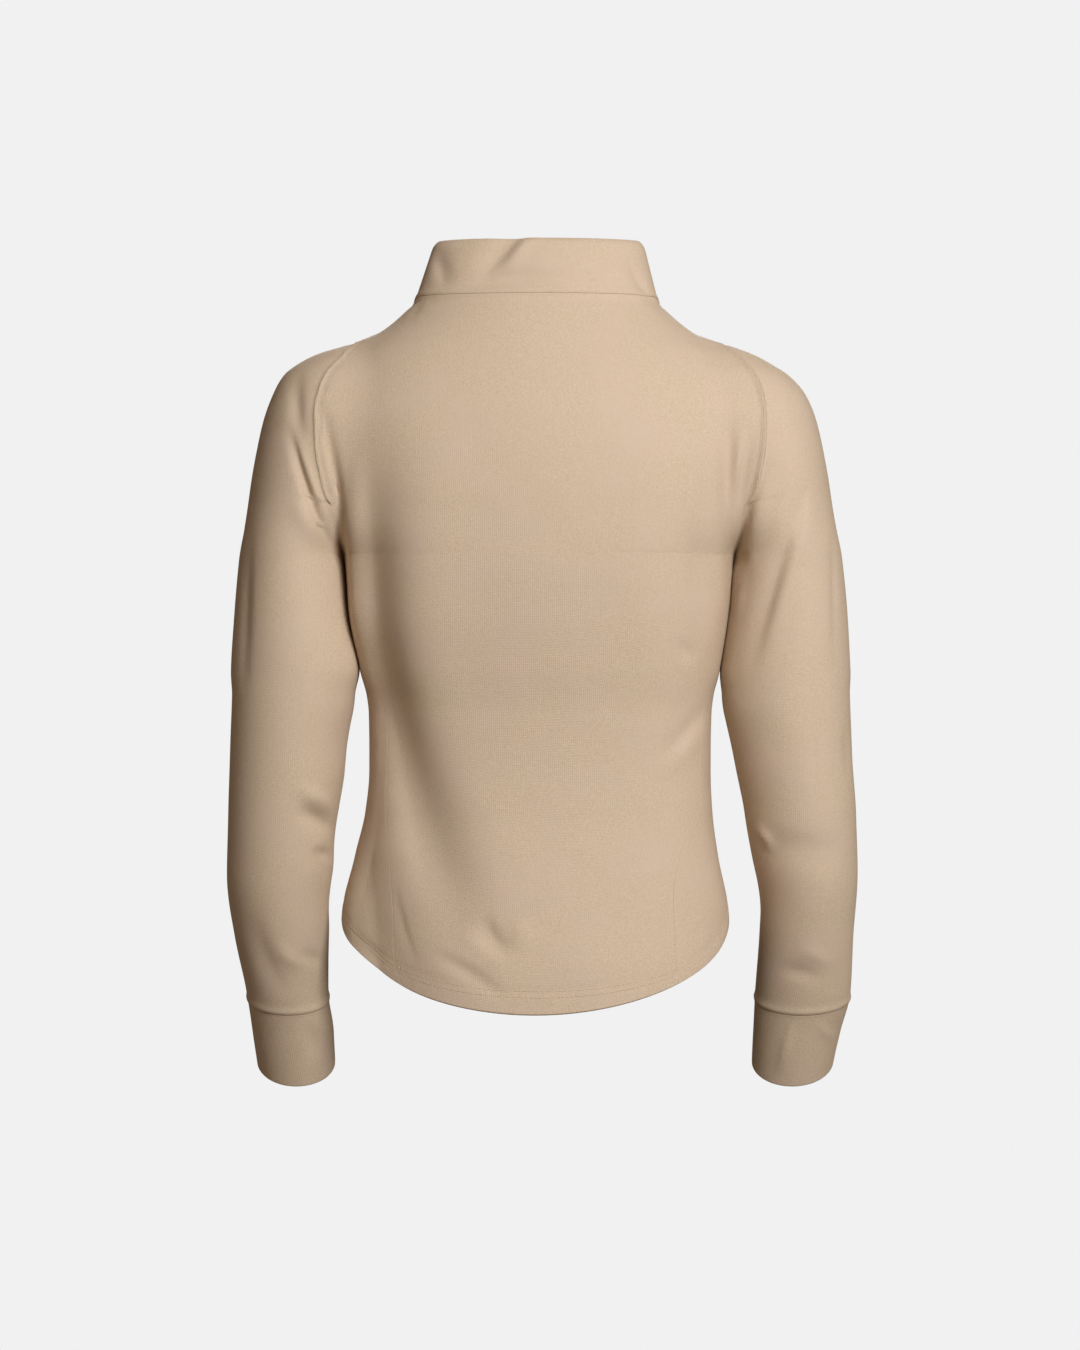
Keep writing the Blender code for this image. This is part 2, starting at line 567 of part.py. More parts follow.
def collar():
    """The stand collar, whose base has a point for each point of the pieces it is sewn to."""
    stretches = (
        (-NECK_BACK_END, NECK_BACK_END, BACK_COLUMNS),
        (NECK_BACK_END, NECK_FRONT_END, NECK_COLUMNS),
        (NECK_FRONT_END, 2 * np.pi - NECK_FRONT_END, FRONT_COLUMNS),
        (-NECK_FRONT_END, -NECK_BACK_END, NECK_COLUMNS),
    )
    base = np.concatenate([even(neck_line(start, end), count)[:-1] for start, end, count in stretches])
    base = np.concatenate((base, base[:1]))
    angle = np.arctan2(base[:, 0] / NECK_WIDE, base[:, 1] / NECK_DEEP)
    deep = np.where(np.cos(angle) > 0, COLLAR_TOP["back"], COLLAR_TOP["front"])
    drop = COLLAR_TOP["front_height"] - COLLAR_TOP["back_height"]
    height = COLLAR_TOP["back_height"] + drop * forward(angle)
    x = COLLAR_TOP["sway"] + COLLAR_TOP["half"] * np.sin(angle)
    top = np.stack([x, deep * np.cos(angle), height], axis=-1)
    share = np.linspace(0, 1, COLLAR_ROWS + 1)[:, None, None]
    points = (1 - share) * base + share * top
    cloth("collar", points, grid_normals(points), DOUBLED, 0)


def main():
    for thing in list(bpy.data.objects):
        bpy.data.objects.remove(thing)
    body_panels()
    for side, name in ((1, "left"), (-1, "right")):
        sleeve(side, name)
    collar()


main()
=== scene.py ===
"""Looks of a fitted fleece sweater with raglan sleeves, a stand collar and cuffs, filled out as it is worn.

Metres, +Z up. The front faces -Y, the wearer's left is +X, and the photographed side is the back, +Y.
Each cut piece is a thin shell of cloth on its solid's form, with its folds, rolled seams and stitching.
"""

import bpy
import numpy as np
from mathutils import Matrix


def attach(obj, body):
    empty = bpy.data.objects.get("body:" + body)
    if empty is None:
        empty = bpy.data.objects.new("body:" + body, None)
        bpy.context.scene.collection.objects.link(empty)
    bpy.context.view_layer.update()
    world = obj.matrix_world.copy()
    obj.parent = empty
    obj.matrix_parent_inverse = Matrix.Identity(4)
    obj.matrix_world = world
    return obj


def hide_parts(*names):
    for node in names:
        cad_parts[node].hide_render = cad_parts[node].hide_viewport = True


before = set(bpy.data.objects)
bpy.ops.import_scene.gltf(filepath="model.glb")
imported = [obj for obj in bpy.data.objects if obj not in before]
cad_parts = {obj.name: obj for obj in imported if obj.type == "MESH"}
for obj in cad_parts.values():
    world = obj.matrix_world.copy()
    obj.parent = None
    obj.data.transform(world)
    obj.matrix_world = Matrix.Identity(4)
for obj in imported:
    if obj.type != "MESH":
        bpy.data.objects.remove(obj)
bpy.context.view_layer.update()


# --- Studio ---------------------------------------------------------------------------------------
# The sweater stands out against an even pale ground. The camera looks square on at the back from four
# metres. A large soft light stands to the right of the camera and above it, weak ones to either side, and
# one in front of the garment, for the views from there.

CAMERA_DISTANCE = 4.0
CAMERA_HEIGHT = -0.3075
VIEW_HEIGHT = 1.107  # what the frame takes in at the garment's middle, from its top to its bottom edge
SENSOR = 36.0  # millimetres, along the frame's long side

camera = bpy.data.objects.new("camera", bpy.data.cameras.new("camera"))
camera.data.sensor_width = SENSOR
camera.data.lens = SENSOR * CAMERA_DISTANCE / VIEW_HEIGHT
camera.location = (0, CAMERA_DISTANCE, CAMERA_HEIGHT)
camera.rotation_euler = np.radians((90, 0, 180))
bpy.context.collection.objects.link(camera)
bpy.context.scene.camera = camera
bpy.context.scene.view_settings.view_transform = "Standard"


def linear(colour):
    """An sRGB hex colour as the linear values that a shader works in, with full opacity."""
    parts = np.array([int(colour[i:i + 2], 16) for i in (1, 3, 5)]) / 255
    low = parts / 12.92
    high = ((parts + 0.055) / 1.055) ** 2.4
    return (*np.where(parts < 0.04045, low, high), 1.0)


def add(tree, kind, values=(), links=(), **settings):
    """One more shader node: its settings, the values of its sockets, and the outputs that feed them."""
    made = tree.nodes.new(kind)
    for name, value in settings.items():
        setattr(made, name, value)
    for socket, value in dict(values).items():
        made.inputs[socket].default_value = value
    for socket, output in dict(links).items():
        tree.links.new(output, made.inputs[socket])
    return made


GROUND = "#f1f1f1"
AMBIENT = "#ffe2c6"
AMBIENT_STRENGTH = 0.15

world = bpy.data.worlds.new("studio")
bpy.context.scene.world = world
world.use_nodes = True
world.node_tree.nodes.clear()
seen = add(world.node_tree, "ShaderNodeBackground", {"Color": linear(GROUND)})
around = add(world.node_tree, "ShaderNodeBackground",
             {"Color": linear(AMBIENT), "Strength": AMBIENT_STRENGTH})
path = add(world.node_tree, "ShaderNodeLightPath")
both = add(world.node_tree, "ShaderNodeMixShader",
           links={0: path.outputs["Is Camera Ray"], 1: around.outputs[0], 2: seen.outputs[0]})
add(world.node_tree, "ShaderNodeOutputWorld", links={"Surface": both.outputs[0]})


def soft_light(name, place, target, size, watts, colour):
    """A square studio light facing its target."""
    lamp = bpy.data.lights.new(name, "AREA")
    lamp.size = size
    lamp.energy = watts
    lamp.color = linear(colour)[:3]
    light = bpy.data.objects.new(name, lamp)
    light.location = place
    toward = np.array(target) - np.array(place)
    tilt = np.arctan2(np.hypot(*toward[:2]), -toward[2])
    light.rotation_euler = (tilt, 0, np.arctan2(-toward[0], toward[1]))
    bpy.context.collection.objects.link(light)


CHEST = (0, 0, -0.25)
soft_light("key light", (-1.4, 3.0, 1.15), CHEST, 1.3, 130, "#ffffff")
soft_light("side light", (-3.0, 0.9, 0.4), CHEST, 1.4, 6, "#ffffff")
soft_light("fill light", (2.4, 2.6, 0.2), CHEST, 1.6, 6, "#ffeedd")
soft_light("front light", (0.0, -3.2, 1.2), CHEST, 1.6, 60, "#ffffff")

FLOOR_HEIGHT, FLOOR_RADIUS = -0.95, 6.0
bpy.ops.object.select_all(action="DESELECT")
bpy.ops.mesh.primitive_circle_add(
    vertices=96, radius=FLOOR_RADIUS, fill_type="NGON", location=(0, 0, FLOOR_HEIGHT))
floor = bpy.context.object
floor.name = "floor"
paper = bpy.data.materials.new("pale seamless paper")
paper.use_nodes = True
paper.node_tree.nodes.clear()
glow = add(paper.node_tree, "ShaderNodeEmission", {"Color": linear(GROUND)})
add(paper.node_tree, "ShaderNodeOutputMaterial", links={"Surface": glow.outputs[0]})
floor.data.materials.append(paper)
floor.visible_diffuse = False
floor.visible_glossy = False


# --- Back panel -----------------------------------------------------------------------------------
# One piece of smooth-faced stretch fleece, brushed inside. It runs from the collar to the turned-up hem
# and is sewn to the sleeves along curved raglan seams and to the front along two side seams.

CLOTH = 0.0016  # one layer of brushed jersey
DOUBLED = 0.0028  # collar and cuffs are the same cloth folded double
SEAM_GAP = 0.00008  # between the edges of two pieces that are sewn together
EASE = 0.0002  # how far the cloth lies inside its form

ARMPIT = -0.213  # heights
VALLEY_TOP = -0.168  # the raglan seam runs in the crease under the arm up to here
SHOULDER_TURN = -0.140  # above this the body is charted by rays that climb to the neck
ARM_TOP = -0.038
WIDE, DEEP, CLIMB = 0.060, 0.100, 0.100  # proportions of the body's rays
NECK_BACK_END = np.radians(116)  # angles round the neck from the nape: the sleeve meets the collar
NECK_FRONT_END = np.radians(141)  # between these two
NECK_SIDE = np.radians(75)  # from here the neck seam starts to fall
NAPE_HEIGHT = 0.002
NECK_DROP = 0.047  # how much lower the neck seam lies at the front
NECK_WIDE, NECK_DEEP = 0.099, 0.052  # proportions of the ring that the neck angles are read on
HEM_BACK, HEM_FRONT, HEM_SIDE = -0.580, -0.562, -0.509
HEM_WIDE, HEM_DEEP = 0.160, 0.105  # proportions of the ring that the hem angles are read on
HEM_ROUND = 0.07  # roundness of the notch at each side of the hem
BACK_COLUMNS, SIDE_ROWS, RAGLAN_ROWS = 154, 112, 77
REACH, PROBES, HALVINGS = 0.36, 73, 22  # how far and how closely a ray looks for the cloth
NUDGE = 2e-5  # how far to either side a form is felt for its slope


def table(columns, rows):
    """Rows of numbers as one array for each named column."""
    return dict(zip(columns.split(), np.array(rows).T))


TORSO = table("height half sway back front square", (
    (-0.600, 0.1600, 0.004, 0.100, 0.110, 2.2),
    (-0.545, 0.1600, 0.004, 0.098, 0.110, 2.2),
    (-0.505, 0.1590, 0.004, 0.093, 0.108, 2.2),
    (-0.455, 0.1490, 0.003, 0.086, 0.105, 2.3),
    (-0.420, 0.1425, 0.001, 0.082, 0.103, 2.3),
    (-0.385, 0.1400, 0.000, 0.081, 0.104, 2.3),
    (-0.340, 0.1405, 0.000, 0.084, 0.109, 2.3),
    (-0.300, 0.1470, 0.000, 0.091, 0.117, 2.3),
    (-0.255, 0.1550, 0.001, 0.098, 0.123, 2.3),
    (ARMPIT, 0.1590, 0.001, 0.102, 0.123, 2.3),
    (VALLEY_TOP, 0.1920, 0.000, 0.103, 0.116, 2.0),
    (-0.135, 0.2000, 0.000, 0.101, 0.106, 2.0),
    (-0.100, 0.1960, 0.001, 0.095, 0.093, 2.0),
    (-0.070, 0.1800, 0.001, 0.085, 0.080, 2.0),
    (-0.045, 0.1560, 0.002, 0.074, 0.068, 2.0),
    (-0.028, 0.1300, 0.003, 0.066, 0.060, 2.0),
    (-0.012, 0.1100, 0.003, 0.058, 0.054, 2.0),
    (0.0020, 0.0985, 0.003, 0.052, 0.050, 2.0),
    (0.0300, 0.0920, 0.002, 0.047, 0.048, 2.0),
))

# Outer edge of each sleeve, its clearance from the body's side, and its middle and half-depth in Y.
ARM = table("height outer_left outer_right clear_left clear_right middle deep", (
    (-0.680, 0.2310, 0.2370, 0.005, 0.017, -0.086, 0.034),
    (-0.640, 0.2345, 0.2430, 0.006, 0.020, -0.068, 0.035),
    (-0.603, 0.2390, 0.2500, 0.007, 0.021, -0.052, 0.036),
    (-0.570, 0.2430, 0.2572, 0.011, 0.022, -0.038, 0.038),
    (-0.521, 0.2520, 0.2585, 0.010, 0.025, -0.022, 0.043),
    (-0.472, 0.2575, 0.2612, 0.014, 0.028, -0.010, 0.047),
    (-0.422, 0.2560, 0.2595, 0.022, 0.026, -0.003, 0.050),
    (-0.373, 0.2542, 0.2558, 0.019, 0.018, 0.001, 0.053),
    (-0.324, 0.2526, 0.2542, 0.009, 0.0065, 0.003, 0.056),
    (-0.300, 0.2520, 0.2532, 0.002, 0.002, 0.003, 0.057),
    (-0.255, 0.2493, 0.2509, 0.001, 0.001, 0.002, 0.058),
    (ARMPIT, 0.2460, 0.2470, 0.0008, 0.0008, 0.000, 0.060),
    (VALLEY_TOP, 0.2395, 0.2395, -0.048, -0.048, 0.000, 0.062),
    (-0.135, 0.2345, 0.2345, -0.063, -0.063, 0.000, 0.062),
    (-0.100, 0.2270, 0.2270, -0.071, -0.071, 0.000, 0.059),
    (-0.078, 0.2190, 0.2180, -0.067, -0.067, 0.000, 0.053),
    (-0.062, 0.2100, 0.2040, -0.060, -0.060, 0.000, 0.045),
    (-0.053, 0.1990, 0.1900, -0.045, -0.045, 0.000, 0.037),
    (-0.045, 0.1840, 0.1750, -0.032, -0.032, 0.000, 0.028),
    (ARM_TOP, 0.1620, 0.1570, -0.020, -0.020, 0.000, 0.016),
))

# Half-width of the line inside the body that its rays start from, against the rise up the body.
SPINE = table("height half", (
    (-0.600, 0.105),
    (-0.170, 0.115),
    (-0.140, 0.110),
    (-0.090, 0.065),
    (0.0000, 0.050),
))

# How widely body and arm run together, and how far each is parted from the other's form.
JOINING = table("height fillet parting", (
    (-0.225, 0.0005, 0.060),
    (ARMPIT, 0.0005, 0.040),
    (-0.204, 0.0020, 0.002),
    (-0.190, 0.0050, 0.001),
    (VALLEY_TOP, 0.0120, 0.000),
    (-0.135, 0.0220, 0.000),
    (-0.100, 0.0280, 0.000),
    (-0.070, 0.0200, 0.000),
    (-0.045, 0.0160, 0.000),
))

# The back raglan seam above the crease, and the front one: distance from the middle.
BACK_RAGLAN = table("height out", (
    (-0.139, 0.1800),
    (-0.107, 0.1830),
    (-0.082, 0.1815),
    (-0.062, 0.1740),
    (-0.048, 0.1620),
))
FRONT_RAGLAN = table("height out", (
    (-0.139, 0.1640),
    (-0.107, 0.1450),
    (-0.080, 0.1200),
    (-0.055, 0.0930),
))

# The side seams are thrown to the back: distance from the middle at each height, hem first.
SIDE_SEAM_AT_HEM = np.radians((44, -41))
SIDE_SEAM = table("height out_left out_right", (
    (-0.540, 0.1230, 0.1099),
    (-0.488, 0.1250, 0.1074),
    (-0.453, 0.1270, 0.1130),
    (-0.410, 0.1290, 0.1287),
    (-0.357, 0.1290, 0.1287),
    (-0.330, 0.1340, 0.1340),
))
UNDER_ARM = table("height turn", ((-0.305, 77), (-0.262, 86)))  # and degrees round from the back


def read(columns, name, height):
    """A column's value at a height, on a smooth curve that never overshoots its rows."""
    knots, values = columns["height"], columns[name]
    steps = np.diff(knots)
    rates = np.diff(values) / steps
    product = rates[:-1] * rates[1:]
    total = np.where(product > 0, rates[:-1] + rates[1:], 1.0)
    inner = np.where(product > 0, 2 * product / total, 0.0)
    slopes = np.concatenate(([rates[0]], inner, [rates[-1]]))
    height = np.clip(height, knots[0], knots[-1])
    i = np.clip(np.searchsorted(knots, height) - 1, 0, len(steps) - 1)
    t = (height - knots[i]) / steps[i]
    bend = t * (1 - t) * steps[i]
    straight = values[i] + t * t * (3 - 2 * t) * (values[i + 1] - values[i])
    return straight + bend * ((1 - t) * slopes[i] - t * slopes[i + 1])


def ring_distance(across, along, half, deep, square):
    """How far a point lies outside a rounded ring, along the line from the ring's middle."""
    ratio = (np.abs(across / half) ** square + np.abs(along / deep) ** square) ** (1 / square)
    ratio = np.maximum(ratio, 1e-6)
    return np.hypot(across, along) * (1 - 1 / ratio)


def torso_distance(points):
    """Distance outside the torso's rings."""
    x, y, z = np.moveaxis(points, -1, 0)
    deep = np.where(y > 0, read(TORSO, "back", z), read(TORSO, "front", z))
    across = x - read(TORSO, "sway", z)
    return ring_distance(across, y, read(TORSO, "half", z), deep, read(TORSO, "square", z))


def arm_section(side, height):
    """Middle, half-width and half-depth of a sleeve: side is 1 for the left and -1 for the right."""
    left = np.asarray(side) > 0
    outer = np.where(left, read(ARM, "outer_left", height), read(ARM, "outer_right", height))
    clear = np.where(left, read(ARM, "clear_left", height), read(ARM, "clear_right", height))
    inner = read(TORSO, "half", height) + side * read(TORSO, "sway", height) + clear
    middle_x = side * (outer + inner) / 2
    return middle_x, read(ARM, "middle", height), (outer - inner) / 2, read(ARM, "deep", height)


def arm_distance(points, side):
    """Distance outside an arm's rings, whose top is flat at the shoulder."""
    x, y, z = np.moveaxis(points, -1, 0)
    middle_x, middle_y, half, deep = arm_section(side, z)
    return np.maximum(ring_distance(x - middle_x, y - middle_y, half, deep, 2.0), z - ARM_TOP)


def joined(own, other, height):
    """The form's distance, with the other limb's form run into this one's by a soft fillet."""
    fillet = read(JOINING, "fillet", height)
    other = other + read(JOINING, "parting", height)
    share = np.maximum(fillet - np.abs(own - other), 0) / fillet
    return np.minimum(own, other) - share ** 2 * fillet / 4


def body_form(points):
    """Distance outside the body's panels."""
    side = np.where(points[..., 0] > 0, 1, -1)
    return joined(torso_distance(points), arm_distance(points, side), points[..., 2])


def sleeve_form(side):
    """Distance outside one sleeve, as a function of points."""
    return lambda points: joined(arm_distance(points, side), torso_distance(points), points[..., 2])


def cast(start, way, form):
    """Where the line from each start first leaves the form."""
    start, way = np.broadcast_arrays(start, way)
    way = way / np.linalg.norm(way, axis=-1, keepdims=True)
    reach = np.linspace(0, REACH, PROBES)
    outside = np.stack([form(start + way * r) for r in reach]) > 0
    leaves = outside[1:] & ~outside[:-1]
    first = np.argmax(leaves, axis=0)
    low, high = reach[first], reach[first + 1]
    for _ in range(HALVINGS):
        middle = (low + high) / 2
        out = form(start + way * middle[..., None]) > 0
        low, high = np.where(out, low, middle), np.where(out, middle, high)
    return start + way * high[..., None]


def outward(points, form):
    """Unit normal of a form at points on it."""
    slope = [form(points + NUDGE * axis) - form(points - NUDGE * axis) for axis in np.eye(3)]
    slope = np.stack(slope, axis=-1)
    return slope / np.linalg.norm(slope, axis=-1, keepdims=True)


def body_ray(angle, rise):
    """Start and direction of the body's ray at an angle round from the back and a rise up the body."""
    climb = np.maximum(rise - SHOULDER_TURN, 0) / CLIMB
    level = np.minimum(rise, SHOULDER_TURN)
    start = np.stack([read(SPINE, "half", rise) * np.sin(angle), 0 * angle, level], axis=-1)
    out = np.cos(climb)
    way = [WIDE * np.sin(angle) * out, DEEP * np.cos(angle) * out, CLIMB * np.sin(climb)]
    return start, np.stack(way, axis=-1)


def body_place(points, facing):
    """Angle and rise of points on the body, with the angle within half a turn of facing."""
    x, y, z = np.moveaxis(points, -1, 0)
    rise = z
    for _ in range(HALVINGS):
        spine = read(SPINE, "half", rise)
        low, high = np.full(x.shape, 1e-4), np.full(x.shape, 4.0)
        for _ in range(HALVINGS):
            middle = (low + high) / 2
            short = (x / (spine + middle * WIDE)) ** 2 + (y / (middle * DEEP)) ** 2 > 1
            low, high = np.where(short, middle, low), np.where(short, high, middle)
        climb = np.arctan2(np.maximum(z - SHOULDER_TURN, 0), low * CLIMB)
        rise = np.minimum(z, SHOULDER_TURN) + climb * CLIMB
    angle = np.arctan2(x / (spine + low * WIDE), y / (low * DEEP))
    return facing + (angle - facing + np.pi) % (2 * np.pi) - np.pi, rise


def body_at(angle, rise):
    """Points of the body's form at an angle and a rise."""
    start, way = body_ray(angle, rise)
    return cast(start, way, body_form)


def from_face(out, height, side, face):
    """Points on the body seen square on from the back (face 1) or the front (face -1)."""
    start = np.stack([side * out, 0.0 * out, height], axis=-1)
    return cast(start, np.array([0.0, face, 0.0]), body_form)


EDGE_CELLS = (0.2, 0.2, 0.25, 0.35, 0.5, 0.75)  # sizes of the first cells at an edge, against the others


def shares(count, at_start=True, at_end=True):
    """Places of count + 1 points along a line, closer together where it starts or ends at an edge."""
    sizes = np.ones(count)
    if at_start:
        sizes[:len(EDGE_CELLS)] = EDGE_CELLS
    if at_end:
        sizes[-len(EDGE_CELLS):] = EDGE_CELLS[::-1]
    return np.concatenate(([0], np.cumsum(sizes))) / sizes.sum()


def along(points, places):
    """The points of a line at those shares of its length."""
    steps = np.linalg.norm(np.diff(points, axis=0), axis=1)
    length = np.concatenate(([0], np.cumsum(steps)))
    return np.stack([np.interp(places * length[-1], length, column) for column in points.T], axis=1)


def armpit(side):
    """The point under the arm where the side seam, both raglan seams and the sleeve's seam meet."""
    return np.array([side * read(TORSO, "half", ARMPIT) + read(TORSO, "sway", ARMPIT), 0.0, ARMPIT])


def valley(side, face, count=40):
    """The crease where arm and body cross, from the armpit up, on the back or the front."""
    heights = ARMPIT + (VALLEY_TOP - ARMPIT) * np.linspace(0.1, 1, count) ** 2
    half, square = read(TORSO, "half", heights), read(TORSO, "square", heights)
    deep = read(TORSO, "back" if face > 0 else "front", heights)
    low, high = np.zeros(count), np.full(count, np.pi / 2)
    for _ in range(HALVINGS):
        turn = (low + high) / 2
        x = side * half * np.sin(turn) ** (2 / square) + read(TORSO, "sway", heights)
        y = face * deep * np.cos(turn) ** (2 / square)
        points = np.stack([x, y, heights], axis=-1)
        clear = arm_distance(points, side) > 0
        low, high = np.where(clear, turn, low), np.where(clear, high, turn)
    return np.concatenate((armpit(side)[None], points))


def neck_line(start, end, count=240):
    """The neck seam between two angles round from the nape."""
    angle = np.linspace(start, end, count)
    height = NAPE_HEIGHT - NECK_DROP * forward(angle)
    start = np.stack([0 * angle, 0 * angle, height], axis=-1)
    way = np.stack([NECK_WIDE * np.sin(angle), NECK_DEEP * np.cos(angle), 0 * angle], axis=-1)
    return cast(start, way, body_form)


def forward(angle):
    """How far round to the front of the neck an angle lies: 0 over the back, 1 at the front."""
    turn = np.clip((np.arccos(np.cos(angle)) - NECK_SIDE) / (np.pi - NECK_SIDE), 0, 1)
    return turn * turn * (3 - 2 * turn)


def hem_line(start, end, count=240):
    """The hem between two angles round from the back, dipping at back and front."""
    angle = np.linspace(start, end, count)
    dip = (np.hypot(np.cos(angle), HEM_ROUND) - HEM_ROUND) / (np.hypot(1, HEM_ROUND) - HEM_ROUND)
    lowest = np.where(np.cos(angle) > 0, HEM_BACK, HEM_FRONT)
    height = HEM_SIDE + (lowest - HEM_SIDE) * dip
    start = np.stack([read(TORSO, "sway", height), 0 * angle, height], axis=-1)
    way = np.stack([HEM_WIDE * np.sin(angle), HEM_DEEP * np.cos(angle), 0 * angle], axis=-1)
    return cast(start, way, body_form)


def through(points, facing, count=200):
    """A smooth line on the body through a few places on it."""
    knots = np.arange(len(points), dtype=float)
    wanted = np.linspace(0, knots[-1], count)
    smooth = [read(dict(height=knots, value=v), "value", wanted) for v in body_place(points, facing)]
    return body_at(*smooth)


def raglan(side, face):
    """A raglan seam from the armpit to the neck, on the back or the front."""
    crease = valley(side, face)
    columns = BACK_RAGLAN if face > 0 else FRONT_RAGLAN
    upper = from_face(columns["out"], columns["height"], side, face)
    neck_angle = side * (NECK_BACK_END if face > 0 else NECK_FRONT_END)
    neck = neck_line(neck_angle, neck_angle, 2)[:1]
    shoulder = through(np.concatenate((crease[-1:], upper, neck)), side * np.pi / 2)
    return np.concatenate((crease[:-1], shoulder))


def side_seam(side):
    """A side seam from the hem to the armpit."""
    at_hem = SIDE_SEAM_AT_HEM[0 if side > 0 else 1]
    out = SIDE_SEAM["out_left" if side > 0 else "out_right"]
    keys = (
        hem_line(at_hem, at_hem, 2)[:1],
        from_face(out, SIDE_SEAM["height"], side, 1),
        body_at(side * np.radians(UNDER_ARM["turn"]), UNDER_ARM["height"]),
        armpit(side)[None],
    )
    return through(np.concatenate(keys), side * np.pi / 2)


def stretch(left, right, bottom, top, facing):
    """A grid of places on the body between four edge lines, row by row from the hem up."""
    edges = left, right, bottom, top
    left, right, bottom, top = [np.stack(body_place(edge, facing), axis=-1) for edge in edges]
    u = shares(len(bottom) - 1)[:, None]
    rise = (left[:, 1] + right[:, 1]) / 2
    under_arm = rise[SIDE_ROWS]
    hem_share = np.clip((under_arm - rise) / (under_arm - rise[0]), 0, 1)[:, None, None]
    neck_share = np.clip((rise - under_arm) / (rise[-1] - under_arm), 0, 1)[:, None, None]
    grid = (1 - u) * left[:, None] + u * right[:, None]
    grid = grid + hem_share * (bottom - (1 - u) * bottom[0] - u * bottom[-1])
    grid = grid + neck_share * (top - (1 - u) * top[0] - u * top[-1])
    points = body_at(grid[..., 0], grid[..., 1])
    points[:, 0], points[:, -1], points[0], points[-1] = edges
    return points


